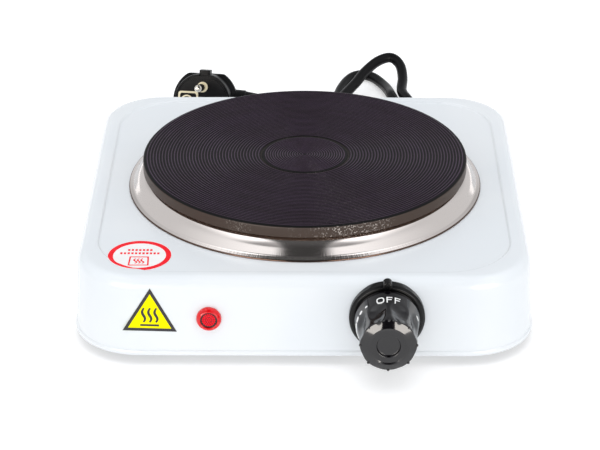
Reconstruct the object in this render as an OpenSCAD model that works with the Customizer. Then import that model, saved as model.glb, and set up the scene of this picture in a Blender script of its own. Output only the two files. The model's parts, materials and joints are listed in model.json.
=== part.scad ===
// Free-standing electric hot plate with one cast iron cooking plate.
// Millimetres, +Z up. The table is z = 0 and the cooking plate is centred on the Z axis.
// The control side with the knob faces -Y, and the mains lead leaves at the back.

/* [Housing] */
// Width of the square housing just under its shoulder
body_w = 245.8; // [244:0.2:248]
// How much further out the foot of a side wall stands than its top
body_flare = 1.5; // [0.5:0.1:2]
// Height of the bead round the top above the table
body_top = 50.8; // [50:0.2:52]
// Height of the bottom edge of the housing above the table
body_bottom = 6; // [5.5:0.1:6.2]
// Height of the hem along the bottom edge
hem_h = 3; // [2:0.5:4]
// How far the hem stands out from the wall
hem_out = 0.8; // [0.4:0.1:1]
// Plan radius of the housing corners at the shoulder
corner_r = 35; // [32:1:37]
// Radius of the shoulder between side and top
shoulder_r = 6.5; // [5:0.5:7]
// Thickness of the enamelled sheet steel
sheet_t = 1; // [0.8:0.1:1.1]
// Half width of the sunk top panel
panel_half = 112; // [110:0.5:113]
// Plan radius of the corners of the sunk panel
panel_r = 37; // [34:1:38]
// How deep the panel lies below the bead
panel_sink = 1.1; // [0.9:0.1:1.3]

/* [Cooking plate] */
// Diameter of the cast iron plate
plate_d = 185; // [184:0.5:186]
// Height of the cooking surface above the table
plate_top = 67; // [66.8:0.1:67.5]
// Height of the rim band
rim_h = 6.6; // [6:0.1:6.8]
// Outer diameter of the stainless trim ring
trim_d = 202; // [200:0.5:204]
// Diameter of the hole that the plate stands in
opening_d = 178; // [176:0.5:180]
// Radii of the three heating channels
channel_rs = [38, 56, 74];

/* [Controls] */
// Distance of the knob to the right of the middle
knob_x = 44.2; // [40:0.1:48]
// Height of the knob axis
knob_z = 29.9; // [29:0.1:31]
// Length that the knob stands out from the front wall
knob_out = 33.4; // [32:0.1:34]
// Radius of the knob's skirt
knob_skirt_r = 17.6; // [17:0.1:18]
// Radius of the knob's end
knob_end_r = 14.8; // [14.4:0.1:15.2]
// Outer radius of the dial ring
bezel_r = 20.2; // [19.8:0.1:20.5]
// Radius of the control spindle
spindle_r = 3; // [3:0.5:3]
// Distance of the pilot lamp to the left of the middle
lamp_x = 50.5; // [46:0.5:54]
// Height of the pilot lamp
lamp_z = 28.1; // [27:0.1:30]
// Radius of the pilot lamp lens
lens_r = 6.7; // [6.4:0.1:7]

/* [Mains lead] */
// Diameter of the mains lead
cord_d = 6.8; // [6.6:0.1:6.8]
// Distance of the cord outlet to the right of the middle
outlet_x = 86; // [86:1:86]
// Height of the cord outlet
outlet_z = 16; // [16:1:16]
// Length of the strain relief outside the wall
relief_len = 32; // [32:1:32]

/* [Hidden] */

$fn = 64;
hull_fn = 40;
eps = 0.01;

// Side walls lean out towards the foot
wall_half = body_w / 2;
wall_top_z = body_top - shoulder_r;
wall_foot_z = body_bottom + hem_h;
foot_half = wall_half + body_flare;
wall_lean = atan(body_flare / (wall_top_z - wall_foot_z));
panel_z = body_top - panel_sink;
corner_at = wall_half - corner_r;

// Distance of the outside of a side wall from the middle at height z
function wall_at(z) = wall_half + body_flare * (wall_top_z - z) / (wall_top_z - wall_foot_z);

// Base
base_t = 1;
base_z = 7;
base_top = base_z + base_t;
base_half = 121.5;
base_corner_r = 34;
foot_at = 96;
foot_r = 11;
foot_sole_r = 9.5;
tab_at = 113;
tab_y = 50;
slot_l = 26;
slot_w = 4;
screw_r = 1.9;
screw_hole_r = 2.05;

// Plate
plate_r = plate_d / 2;
trim_r = trim_d / 2;
rim_low = plate_top - rim_h;
trim_flange_z = rim_low - 1.1;
plate_body_r = 86.5;
plate_low = 48.5;
channel_w = 12;
channel_top = 58.5;
coil_z = 53.5;
coil_r = 2.5;
stud_r = 3;
bar_z = 34;
bar_half = 100;
bar_w = 20;
bar_t = 2;
block_y = 68;
terminal_xs = [-14, 0, 14];
shield_r = 56;
shield_z = 20;

// Thermostat stack, with the spindle on the knob axis
front_y = -wall_at(knob_z);
bracket_y = -121.2;
stack_x = knob_x - 16;
stack_r = 5.5;
leaf_y = -94;
fixed_y = -90;
bimetal_y = -85;
leaf_t = 0.4;
pivot_x = stack_x + stack_r;
pin_r = 1.5;
spindle_end_y = -100;
run_gap = 0.05;
tab_low_z = 14;

// Lead
cord_r = cord_d / 2;
outlet_y = wall_at(outlet_z);
relief_end_y = outlet_y + relief_len;
inner_end_y = 92;
wire_r = 1.3;
lamp_wire_r = 0.8;

// Plug, which lies on its tapered back
plug_at = [-67.5, 172.3, 23.7];
plug_yaw = 6.5;
plug_turn = [-20, 0, -plug_yaw];
pin_gap = 9.5;
plug_pin_r = 2.4;
plug_pin_root_r = 1.8;
plug_pin_l = 19;
insert_out = 0.6;
plug_r = 18.5;
plug_flat = 17.7;
boss_t = 19;
boss_end = 42;

// The lead's route from the strain relief round its loops to the plug
cord_route = [
    [86, 156.3, 16], [86, 172, 13.8], [85.2, 188, 8.2], [78.5, 203.5, 4.1],
    [60, 212.5, 3.6], [40.5, 206, 3.6], [31, 190, 3.5], [30, 164, 3.5],
    [36.5, 147, 3.5], [50.5, 140.8, 3.5], [64.5, 147, 3.6], [70.5, 164, 3.9],
    [64, 187, 6.4], [57.5, 209, 10.7], [55.5, 230, 6.6], [52.5, 246, 4],
    [46, 260, 3.5], [38.5, 265, 3.5], [31, 260, 3.5], [25.5, 247, 3.5],
    [21.5, 228, 3.5], [20, 196, 3.5], [21.5, 160, 3.5], [31, 140, 3.5],
    [50, 133.2, 3.5], [69.5, 140.5, 3.6], [78.5, 162, 3.8], [75, 184, 6.4],
    [68, 203, 11], [64, 219, 11.2], [65, 236, 13.6], [63.5, 249, 17.6],
    [57.5, 255, 20.4], [48.5, 250.5, 19.6], [39.5, 239, 16.6], [32, 224, 13.6],
    [19, 200, 11.4], [4, 189, 12.8], [-9, 185, 15.2], [-23.8, 185.3, 17.2]
];

live_route = [
    [84.6, 92, 16.8], [83, 82, 15], [92, 55, 13], [99, 20, 12], [99, -20, 12],
    [92, -60, 12], [70, -77, 13], [40, -72, 13], [18, -76, 18], [10, -83, 26],
    [10, -86.4, 30]
];
neutral_route = [
    [87.4, 92, 16.8], [86, 84, 21], [74, 80, 25], [50, 84, 30], [26, 86, 32],
    [14, 79.4, 33]
];
earth_route = [[86, 92, 14.4], [90, 84, 12], [97, 76, 10.5], [100, 70.8, 9.6]];
link_route = [
    [28.2, -91, 13], [16, -84, 12], [-30, -84, 12], [-70, -64, 12], [-88, -20, 12],
    [-86, 36, 14], [-62, 76, 22], [-30, 88, 31], [-14, 79.4, 33]
];
lamp_left_route = [
    [-52.5, -104, 28.1], [-60, -90, 24], [-84, -56, 17], [-96, 0, 15], [-92, 44, 17],
    [-66, 84, 25], [-36, 96, 33], [-17, 88, 37], [-16, 79.4, 36]
];
lamp_right_route = [
    [-48.5, -104, 28.1], [-54, -86, 23], [-78, -50, 20.5], [-91, 0, 18.5],
    [-88, 42, 20.5], [-62, 79, 28.5], [-34, 92, 36], [0, 94, 38], [13, 88, 38],
    [15, 79.4, 36]
];

// ---- Shared shapes ----

// Turns +Z to point out of the front, for what sits on the knob axis
module on_front_axis(x, z) translate([x, 0, z]) rotate([90, 0, 0]) children();

// Lays a flat piece on the leaning front wall, +Z out
module on_front_wall(x, z) translate([x, -wall_at(z), z]) rotate([90 - wall_lean, 0, 0]) children();

// Turns +Z to point out of the back
module on_back_axis(x, z) translate([x, 0, z]) rotate([-90, 0, 0]) children();

module at_corners(d) {
    for (x = [-1, 1], y = [-1, 1]) translate([x * d, y * d, 0]) children();
}

module rounded_square(half, r) {
    union() {
        square([2 * half, 2 * (half - r)], center = true);
        square([2 * (half - r), 2 * half], center = true);
        at_corners(half - r) circle(r);
    }
}

// The housing's solid outline, moved in by inset
module housing_block(inset, low, top) {
    arc = shoulder_r - inset;
    r_top = corner_r - inset;
    side = [
        [0, low], [r_top + body_flare, low], [r_top + body_flare, wall_foot_z],
        [r_top, wall_top_z],
        for (a = [15:15:90]) [r_top - arc + arc * cos(a), top - arc + arc * sin(a)],
        [0, top]
    ];
    hull() at_corners(corner_at) rotate_extrude($fn = hull_fn) polygon(side);
}

// Smooth curve through a list of points
function near(p, i) = p[max(0, min(len(p) - 1, i))];
function between(p, i, t) = 0.5 * (2 * near(p, i) + (near(p, i + 1) - near(p, i - 1)) * t
    + (2 * near(p, i - 1) - 5 * near(p, i) + 4 * near(p, i + 1) - near(p, i + 2)) * t * t
    + (3 * near(p, i) - 3 * near(p, i + 1) + near(p, i + 2) - near(p, i - 1)) * t * t * t);
function smooth(p, steps) = [
    for (i = [0:len(p) - 2], k = [0:steps - 1]) between(p, i, k / steps), p[len(p) - 1]
];
function unit(v) = v / norm(v);

// Direction of a path at point i, along a given direction at its ends
function heading(p, i, first, last) = i == 0 ? unit(first)
    : i == len(p) - 1 ? unit(last) : unit(p[i + 1] - p[i - 1]);

function ring_at(c, dir, r, sides) = let(
    right = unit(cross(dir, abs(dir.z) > 0.95 ? [0, 1, 0] : [0, 0, 1])),
    up = cross(right, dir)
) [for (k = [0:sides - 1]) c + r * (cos(360 * k / sides) * right + sin(360 * k / sides) * up)];

// Round tube along a path, closed at both ends
module tube(p, r, sides, first = undef, last = undef) {
    n = len(p);
    start = is_undef(first) ? p[1] - p[0] : first;
    finish = is_undef(last) ? p[n - 1] - p[n - 2] : last;
    points = [for (i = [0:n - 1]) each ring_at(p[i], heading(p, i, start, finish), r, sides)];
    walls = [
        for (i = [0:n - 2], k = [0:sides - 1])
            let(a = i * sides + k, b = i * sides + (k + 1) % sides)
                each [[a, b, a + sides], [b, b + sides, a + sides]]
    ];
    caps = [
        [for (k = [sides - 1:-1:0]) k],
        [for (k = [0:sides - 1]) (n - 1) * sides + k]
    ];
    polyhedron(points, concat(walls, caps));
}

module wire(route, r) tube(smooth(route, 2), r, 8);

// ---- Housing ----

module body_shell() color("whitesmoke") {
    difference() {
        union() {
            housing_block(0, body_bottom, body_top);
            hull() at_corners(corner_at) translate([0, 0, body_bottom])
                cylinder(h = hem_h, r = corner_r + body_flare + hem_out, $fn = hull_fn);
        }
        housing_block(sheet_t, body_bottom - 1, panel_z - sheet_t);
        hull() at_corners(panel_half - panel_r) translate([0, 0, panel_z])
            cylinder(h = panel_sink + 1, r1 = panel_r - 0.6, r2 = panel_r + 1.4, $fn = hull_fn);
        cylinder(h = 80, d = opening_d, $fn = 96);
        on_front_axis(knob_x, knob_z) translate([0, 0, 100]) cylinder(h = 40, r = 6);
        for (dz = [-11, 11])
            on_front_axis(knob_x, knob_z + dz) translate([0, 0, 100]) cylinder(h = 40, r = 1.7);
        on_front_axis(-lamp_x, lamp_z) translate([0, 0, 100]) cylinder(h = 40, r = 5.6);
        on_back_axis(outlet_x, outlet_z) translate([0, 0, 100]) cylinder(h = 40, r = 6.2);
    }
    for (side = [-1, 1], y = [-tab_y, tab_y]) base_tab(side, y);
}

// Tab welded inside a side wall, which a base screw goes up into
module base_tab(side, y) {
    tab_l = foot_half - sheet_t - 106 + 0.5;
    difference() {
        translate([side * 106 - (side < 0 ? tab_l : 0), y - 8, base_top + 0.02]) cube([tab_l, 16, 1.2]);
        translate([side * tab_at, y, base_z]) cylinder(h = 5, r = screw_hole_r);
    }
}

module slot_hole(x, y) {
    translate([x, y, base_z - 1]) linear_extrude(base_t + 2) {
        square([slot_l, slot_w], center = true);
        for (s = [-1, 1]) translate([s * slot_l / 2, 0]) circle(slot_w / 2, $fn = 32);
    }
}

module base_plate() color("silver") difference() {
    translate([0, 0, base_z]) linear_extrude(base_t) rounded_square(base_half, base_corner_r);
    for (row = [-3:3], col = [-1, 0, 1]) slot_hole(col * 40, row * 12);
    at_corners(foot_at) translate([0, 0, base_z - 1]) cylinder(h = 4, r = screw_hole_r);
    for (x = [-tab_at, tab_at], y = [-tab_y, tab_y])
        translate([x, y, base_z - 1]) cylinder(h = 4, r = screw_hole_r);
    for (x = [outlet_x - 8, outlet_x + 8])
        translate([x, 107, base_z - 1]) cylinder(h = 4, r = 1.7);
    translate([100, 66, base_z - 1]) cylinder(h = 4, r = screw_hole_r);
}

// Pan head screw, pointing up, with the underside of its head at z
module screw_up(z, head_r, head_h, r, l) {
    translate([0, 0, z - head_h]) difference() {
        union() {
            cylinder(h = head_h * 0.5, r1 = head_r * 0.75, r2 = head_r);
            translate([0, 0, head_h * 0.5]) cylinder(h = head_h * 0.5, r = head_r);
            translate([0, 0, head_h]) cylinder(h = l, r = r);
        }
        for (a = [0, 90]) rotate([0, 0, a])
            translate([-head_r * 0.55, -0.4, -1]) cube([head_r * 1.1, 0.8, 1 + head_h * 0.45]);
    }
}

module base_screws() color("lightgray")
    for (x = [-tab_at, tab_at], y = [-tab_y, tab_y])
        translate([x, y, 0]) screw_up(base_z, 3.8, 2.2, screw_r, 6);

module rubber_feet() color("dimgray") at_corners(foot_at) difference() {
    union() {
        cylinder(h = base_z - 1.5, r1 = foot_sole_r, r2 = foot_r);
        translate([0, 0, base_z - 1.5]) cylinder(h = 1.5, r = foot_r);
    }
    translate([0, 0, -1]) cylinder(h = 4.2, r = 5);
    cylinder(h = base_z + 1, r = screw_hole_r);
}

module foot_screws() color("lightgray") at_corners(foot_at) screw_up(3.2, 3.8, 2, screw_r, 8.6);

module foot_nuts() color("silver") at_corners(foot_at) translate([0, 0, base_top]) difference() {
    cylinder(h = 3, r = 4.2, $fn = 6);
    translate([0, 0, -1]) cylinder(h = 5, r = screw_hole_r);
}

// ---- Cooking plate ----

module hot_plate() color([0.2, 0.17, 0.2]) difference() {
    rotate_extrude($fn = 128) polygon([
        [0, plate_low], [plate_body_r, plate_low], [plate_body_r, trim_flange_z + 0.1],
        [plate_r - 2.5, trim_flange_z + 0.1], [plate_r - 2.5, rim_low], [plate_r - 0.4, rim_low],
        [plate_r, rim_low + 0.6], [plate_r, plate_top - 1], [plate_r - 1, plate_top],
        [26, plate_top], [25.4, plate_top - 0.5], [24.6, plate_top - 0.5], [24, plate_top],
        [0, plate_top]
    ]);
    for (r = channel_rs) rotate_extrude($fn = 96)
        translate([r - channel_w / 2, plate_low - 1]) square([channel_w, channel_top - plate_low + 1]);
    translate([0, 0, plate_low - 1]) cylinder(h = 9, r = stud_r);
}

module heating_coil() color("slategray") for (r = channel_rs)
    translate([0, 0, coil_z]) rotate([0, 0, 98]) rotate_extrude(angle = 344, $fn = 96)
        translate([r, 0]) circle(coil_r, $fn = 24);

module plate_cement() color("wheat") for (r = channel_rs) difference() {
    rotate_extrude($fn = 96) translate([r - channel_w / 2, plate_low])
        square([channel_w, channel_top - plate_low]);
    translate([0, 0, coil_z]) rotate([0, 0, 98]) rotate_extrude(angle = 344, $fn = 96)
        translate([r, 0]) circle(coil_r, $fn = 24);
}

module plate_back_cover() color("silver") difference() {
    translate([0, 0, plate_low - 0.6]) cylinder(h = 0.6, r = 84, $fn = 96);
    translate([0, 0, plate_low - 2]) cylinder(h = 4, r = stud_r);
}

module trim_ring() color("gainsboro") rotate_extrude($fn = 128) polygon([
    [trim_r - 0.4, panel_z], [trim_r, panel_z + 0.3], [trim_r - 0.3, panel_z + 0.9],
    [trim_r - 2.4, panel_z + 1.9], [94.4, 57.6], [92.6, trim_flange_z - 0.3], [91.4, trim_flange_z],
    [plate_body_r + 0.5, trim_flange_z], [plate_body_r + 0.5, trim_flange_z - 0.6],
    [91, trim_flange_z - 0.6], [92, trim_flange_z - 1], [trim_r - 3, panel_z + 1.3],
    [trim_r - 1.2, panel_z + 0.5], [trim_r - 1.2, panel_z]
]);

module plate_stud() color("silver") translate([0, 0, 25]) cylinder(h = plate_low + 8 - 25, r = stud_r);

module clamp_bar() color("silver") difference() {
    union() {
        translate([-bar_half, -bar_w / 2, bar_z]) cube([2 * bar_half, bar_w, bar_t]);
        for (side = [-1, 1]) translate([side * (bar_half - 1) - 1, -bar_w / 2, bar_z])
            cube([2, bar_w, panel_z - sheet_t - bar_z]);
        for (y = [-bar_w / 2, bar_w / 2 - 1.5]) translate([-70, y, bar_z]) cube([140, 1.5, 6]);
    }
    translate([0, 0, bar_z - 1]) cylinder(h = 4, r = stud_r + 0.1);
}

module stud_washer() color("lightgray") translate([0, 0, bar_z - 1.6]) difference() {
    cylinder(h = 1.6, r = 7);
    translate([0, 0, -1]) cylinder(h = 4, r = stud_r + 0.1);
}

module stud_nut() color("lightgray") translate([0, 0, bar_z - 6.6]) difference() {
    cylinder(h = 5, r = 5.7, $fn = 6);
    translate([0, 0, -1]) cylinder(h = 8, r = stud_r);
}

module terminal_block() color("ivory") difference() {
    translate([-22, block_y - 8, 38.5]) cube([44, 16, plate_low - 0.6 - 38.5]);
    for (x = terminal_xs) translate([x - 3.1, block_y - 3, 38]) cube([6.2, 6, 6]);
}

module plate_terminals() color("goldenrod") for (x = terminal_xs) {
    translate([x - 3, block_y - 2.9, 39]) cube([6, 5.8, 4.9]);
    translate([x - 3, block_y - 0.4, 37]) cube([6, 0.8, 2 + eps]);
    translate([x - 3, block_y - 0.4, 36.2]) cube([6, 9.4, 0.8]);
}

module heat_shield() color("lightgray") {
    difference() {
        translate([0, 0, shield_z]) cylinder(h = 0.6, r = shield_r, $fn = 96);
        translate([0, 0, shield_z - 1]) cylinder(h = 3, r = 8);
    }
    for (a = [35, 145, 270]) rotate([0, 0, a]) {
        translate([shield_r - 3, -6, base_top + 0.6]) cube([0.6, 12, shield_z - base_top - 0.6 + eps]);
        translate([shield_r - 3, -6, base_top]) cube([10, 12, 0.6 + eps]);
    }
}

// ---- Thermostat ----

module thermostat_bracket() color("silver") difference() {
    union() {
        translate([stack_x - 9, bracket_y, knob_z - 14]) cube([38, 1.5, 28]);
        for (z = [knob_z - 14, knob_z + 13])
            translate([stack_x - 9, bracket_y + 1.5 - eps, z]) cube([20, 8, 1]);
    }
    on_front_axis(knob_x, knob_z) translate([0, 0, 110]) cylinder(h = 15, r = 5);
    on_front_axis(stack_x, knob_z) translate([0, 0, 110]) cylinder(h = 15, r = 1.6);
    for (dz = [-11, 11])
        on_front_axis(knob_x, knob_z + dz) translate([0, 0, 110]) cylinder(h = 15, r = 1.5);
}

module thermostat_bush() color("goldenrod") on_front_axis(knob_x, knob_z) difference() {
    union() {
        translate([0, 0, 108]) cylinder(h = 14.2, r = 5);
        translate([0, 0, 108]) cylinder(h = 119.7 - 108, r = 6.5);
    }
    translate([0, 0, 100]) cylinder(h = 30, r = spindle_r + run_gap);
}

module thermostat_screws() color("lightgray") for (dz = [-11, 11])
    on_front_axis(knob_x, knob_z + dz) {
        translate([0, 0, 117]) cylinder(h = wall_at(knob_z + dz) - 117 + 0.1, r = 1.5);
        translate([0, 0, wall_at(knob_z + dz) + 0.1]) cylinder(h = 1.3, r1 = 2.8, r2 = 2.2);
    }

// One ceramic spacer of the stack, from y_low to y_high
module stack_spacer(y_low, y_high) on_front_axis(stack_x, knob_z) difference() {
    translate([0, 0, -y_high]) cylinder(h = y_high - y_low, r = stack_r);
    translate([0, 0, -y_high - 1]) cylinder(h = y_high - y_low + 2, r = 1.6);
}

module thermostat_ceramics() color("ivory") {
    stack_spacer(bracket_y + 1.5, leaf_y - 0.6);
    stack_spacer(leaf_y + leaf_t, fixed_y);
    stack_spacer(fixed_y + 0.6, bimetal_y);
    stack_spacer(bimetal_y + 1, bimetal_y + 3);
    difference() {
        translate([stack_x + stack_r - 1, -106, knob_z - 4]) cube([21, 4, 8]);
        on_front_axis(knob_x, knob_z) translate([0, 0, 90]) cylinder(h = 30, r = spindle_r + 0.4);
        on_front_axis(stack_x, knob_z) translate([0, 0, 90]) cylinder(h = 30, r = stack_r);
    }
}

module stack_rivet() color("silver") on_front_axis(stack_x, knob_z) {
    translate([0, 0, 79]) cylinder(h = 121.2 - 79, r = 1.6);
    translate([0, 0, 79]) cylinder(h = -bimetal_y - 3 - 79, r = 3);
}

// Flat blade of the stack that reaches to the right of it
module blade(y, t, right_x, half_h) difference() {
    translate([stack_x - stack_r, y, knob_z - half_h]) cube([right_x - stack_x + stack_r, t, 2 * half_h]);
    on_front_axis(stack_x, knob_z) translate([0, 0, -y - t - 1]) cylinder(h = t + 2, r = 1.6);
}

module bimetal_strip() color("tan") blade(bimetal_y, 1, knob_x + 16, 4);

module contact_leaf() color("darkgoldenrod") {
    translate([pivot_x + 0.2, leaf_y, knob_z - 3]) cube([knob_x + 15 - pivot_x, leaf_t, 6]);
    on_front_axis(knob_x + 13, knob_z) translate([0, 0, -leaf_y - leaf_t - 0.8]) cylinder(h = 0.8 + eps, r = 2);
}

module leaf_terminal() color("goldenrod") {
    difference() {
        translate([stack_x - stack_r, leaf_y - 0.6, knob_z - 4]) cube([2 * stack_r, 0.6, 8]);
        on_front_axis(stack_x, knob_z) translate([0, 0, 90]) cylinder(h = 10, r = 1.6);
    }
    translate([stack_x - stack_r, leaf_y, knob_z - 3]) difference() {
        cube([2 * stack_r, leaf_t, 6]);
        translate([stack_r, 2, 3]) rotate([90, 0, 0]) cylinder(h = 5, r = 1.6);
    }
    translate([stack_x - 3, leaf_y - 0.6, tab_low_z]) cube([6, 0.8, knob_z - 4 - tab_low_z + eps]);
}

module fixed_contact() color("goldenrod") {
    blade(fixed_y, 0.6, knob_x + 16, 3.5);
    translate([10, fixed_y, knob_z - 3]) cube([stack_x - stack_r - 10 + eps, 0.6, 6]);
    on_front_axis(knob_x + 13, knob_z) translate([0, 0, -fixed_y]) cylinder(h = 0.6, r = 2);
}

module push_pin() color("ivory") on_front_axis(knob_x, knob_z)
    translate([0, 0, -leaf_y + 0.3]) cylinder(h = leaf_y - spindle_end_y - 0.6, r = pin_r);

// ---- Knob and dial ----

module spindle() color("silver") on_front_axis(knob_x, knob_z) difference() {
    union() {
        translate([0, 0, -spindle_end_y]) cylinder(h = 48, r = spindle_r);
        translate([0, 0, 106.4]) cylinder(h = 1.2, r = 4.6);
    }
    translate([-4, 2, 125.4]) cube([8, 4, 33]);
}

module knob_clip() color("silver") on_front_axis(knob_x, knob_z)
    translate([-1.6, 2.05, 130]) cube([3.2, 0.35, 15]);

module knob() color([0.1, 0.1, 0.1]) on_front_axis(knob_x, knob_z) translate([0, 0, -front_y]) {
    difference() {
        rotate_extrude($fn = 96) polygon([
            [0, 2.4], [16.2, 2.4], [16.2, 4.6], [knob_skirt_r, 4.6], [knob_skirt_r - 0.1, 7],
            [knob_skirt_r - 1.1, 12], [15.7, 17], [knob_end_r + 0.2, knob_out - 2.4],
            [knob_end_r - 0.2, knob_out - 1.6], [10.8, knob_out], [9.6, knob_out - 0.4],
            [6.2, knob_out - 0.4], [5.9, knob_out - 1.8], [0, knob_out - 2]
        ]);
        for (a = [22.5:45:360]) rotate([0, 0, a])
            translate([30.9, 0, 15]) cylinder(h = 40, r = 17.1);
        spindle_bore(2.5);
        difference() {
            cylinder(h = 7, r = 14);
            cylinder(h = 8, r = 6);
        }
    }
}

// D-shaped hole for the spindle, with its flat at height flat
module spindle_bore(flat) difference() {
    translate([0, 0, -1]) cylinder(h = 26.2, r = spindle_r + run_gap);
    translate([-4, flat, -2]) cube([8, 4, 30]);
}

module knob_bezel() color([0.12, 0.12, 0.12]) {
    difference() {
        on_front_axis(knob_x, knob_z) union() {
            rotate_extrude($fn = 96) polygon([
                [7, 122], [bezel_r, 122], [bezel_r, -front_y + 2.6], [bezel_r - 1.4, -front_y + 4],
                [17.2, -front_y + 4], [16.8, -front_y + 3.6], [16.8, -front_y + 2],
                [7, -front_y + 2]
            ]);
            translate([0, 19.6, 122]) cylinder(h = -front_y + 4.4 - 122, r = 2.5);
        }
        on_front_wall(knob_x, knob_z) translate([-40, -40, -20]) cube([80, 80, 20.05]);
        for (dz = [-11, 11])
            on_front_axis(knob_x, knob_z + dz) translate([0, 0, 100]) cylinder(h = 40, r = 3.1);
    }
}

// ---- Pilot lamp ----

module lamp_lens() color("red") on_front_wall(-lamp_x, lamp_z) difference() {
    rotate_extrude($fn = 64) polygon([
        [0, 0.1], [lens_r, 0.1], [lens_r, 1.2], [lens_r - 0.5, 2.4], [lens_r - 1.9, 3.7],
        [lens_r - 3.7, 4.3], [0, 4.5]
    ]);
    cylinder(h = 2, r = 4);
}

module lamp_housing() color("dimgray") on_front_axis(-lamp_x, lamp_z) difference() {
    translate([0, 0, 104]) cylinder(h = 19, r = 5.4);
    translate([0, 0, 105]) cylinder(h = 30, r = 4.4);
    for (x = [-2, 2]) translate([x, 0, 100]) cylinder(h = 10, r = 0.8);
}

module lamp_bulb() color("orange") on_front_axis(-lamp_x, lamp_z) {
    translate([0, 0, 110]) cylinder(h = 8, r = 2.4);
    translate([0, 0, 118]) sphere(r = 2.4);
    for (x = [-1.2, 1.2]) translate([x, 0, 106]) cylinder(h = 5, r = 0.4);
}

module lamp_clip() color("silver") on_front_axis(-lamp_x, lamp_z) difference() {
    translate([0, 0, 119.6]) cylinder(h = 1.4, r = 8.5);
    translate([0, 0, 110]) cylinder(h = 20, r = 5.4);
    for (a = [0:60:300]) rotate([0, 0, a]) translate([6.8, -0.8, 110]) cube([4, 1.6, 20]);
}

// ---- Mains lead ----

module strain_relief() color([0.1, 0.1, 0.1]) on_back_axis(outlet_x, outlet_z) difference() {
    rotate_extrude($fn = 48) polygon([
        [0, 120.3], [8, 120.3], [8, 122], [6, 122], [6, outlet_y + 0.9], [8.2, outlet_y + 0.9],
        [8.2, outlet_y + 2.6], [7, outlet_y + 3.4], [4.6, relief_end_y - 0.6],
        [4.2, relief_end_y], [0, relief_end_y]
    ]);
    for (k = [0:4]) translate([0, 0, outlet_y + 7.5 + 4.6 * k]) difference() {
        cylinder(h = 1.8, r = 9);
        cylinder(h = 4, r = 4.6);
    }
}

module cord_inner_end() color([0.1, 0.1, 0.1]) on_back_axis(outlet_x, outlet_z)
    translate([0, 0, inner_end_y]) cylinder(h = 120.3 - inner_end_y, r = cord_r);

module cord_clamp() color("ivory") difference() {
    translate([outlet_x - 11, 103, base_top]) cube([22, 8, 13]);
    on_back_axis(outlet_x, outlet_z) translate([0, 0, 100]) cylinder(h = 14, r = cord_r);
    for (x = [outlet_x - 8, outlet_x + 8]) translate([x, 107, base_z]) cylinder(h = 20, r = 1.7);
}

module clamp_screws() color("lightgray") for (x = [outlet_x - 8, outlet_x + 8])
    translate([x, 107, base_z]) {
        cylinder(h = base_t + 13, r = 1.6);
        translate([0, 0, base_t + 13]) cylinder(h = 1.8, r = 2.9);
    }

module live_wire() color("saddlebrown") wire(live_route, wire_r);

module neutral_wire() color("royalblue") wire(neutral_route, wire_r);

module earth_wire() color("limegreen") wire(earth_route, wire_r);

module link_wire() color("white") wire(link_route, wire_r);

module lamp_lead_left() color("white") wire(lamp_left_route, lamp_wire_r);

module lamp_lead_right() color("white") wire(lamp_right_route, lamp_wire_r);

// Push-on tags at the wire ends
module crimp_tags() color("goldenrod") {
    for (x = [-14, 14]) translate([x - 3.4, 77.2, 32]) cube([6.8, 2.1, 5.8]);
    translate([6.8, -89.3, knob_z - 3.4]) cube([6.8, 2.8, 6.8]);
    translate([stack_x - 3.4, -93.7, 11.6]) cube([6.8, 2.6, 4.4]);
    difference() {
        translate([100, 66, base_top]) cylinder(h = 1, r = 4.4);
        translate([100, 66, base_top - 1]) cylinder(h = 4, r = screw_hole_r);
    }
    translate([98.2, 69.6, base_top]) cube([3.6, 1.1, 3]);
}

module earth_screw() color("lightgray") translate([100, 66, 0]) {
    translate([0, 0, 5]) cylinder(h = base_top + 1 - 5, r = screw_r);
    translate([0, 0, base_top + 1]) cylinder(h = 2.2, r = 3.6);
    translate([0, 0, 4.4]) cylinder(h = base_z - 4.4, r = 3.4, $fn = 6);
}

module power_cord() color([0.1, 0.1, 0.1])
    tube(smooth(cord_route, 2), cord_r, 8, [0, 1, 0], [-cos(plug_yaw), sin(plug_yaw), 0]);

// ---- Plug ----

// Local frame of the plug: the pins point along -Y, and the lead leaves along +X
module in_plug() translate(plug_at) rotate(plug_turn) children();

module plug_body() color([0.1, 0.1, 0.1]) in_plug() difference() {
    union() {
        intersection() {
            rotate([-90, 0, 0]) rotate_extrude($fn = 96) polygon([
                [0, 0], [plug_r - 0.6, 0], [plug_r, 0.6], [plug_r, 12.6],
                [plug_r + 2.7, 13.6], [plug_r + 2.7, 16.8], [plug_r, 18.6], [12.2, 33],
                [10, 35], [0, 35.6]
            ]);
            translate([-30, -1, -plug_flat]) cube([60, 50, 2 * plug_flat]);
        }
        translate([-3, 4, 17]) cube([7, 9.4, 3.3]);
        translate([10, boss_t, 0]) rotate([0, 90, 0]) cylinder(h = 16, r1 = 8, r2 = 7.4);
        translate([26, boss_t, 0]) rotate([0, 90, 0]) cylinder(h = boss_end - 26, r1 = 6.8, r2 = 4.4);
    }
    for (z = [-1, 1]) translate([-3, -1, z * plug_flat - 1.2]) cube([6, 4.5, 2.4]);
    for (x = [-1, 1]) translate([x * plug_r - 1.5, -1, -3.2]) cube([3, 13, 6.4]);
    translate([0, -1, 0]) insert_outline(2.6, 0.1);
    for (z = [-pin_gap, pin_gap]) translate([0, -2, z]) rotate([-90, 0, 0]) cylinder(h = 14, r = plug_pin_root_r);
    translate([-10, -2, 0]) rotate([-90, 0, 0]) cylinder(h = 18, r = 3.2);
}

// Round plate with two flats that closes the face of the plug
module insert_outline(h, gap) intersection() {
    rotate([-90, 0, 0]) cylinder(h = h, r = 16.8 + gap, $fn = 96);
    translate([-20, 0, -14 - gap]) cube([40, h, 28 + 2 * gap]);
}

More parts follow.
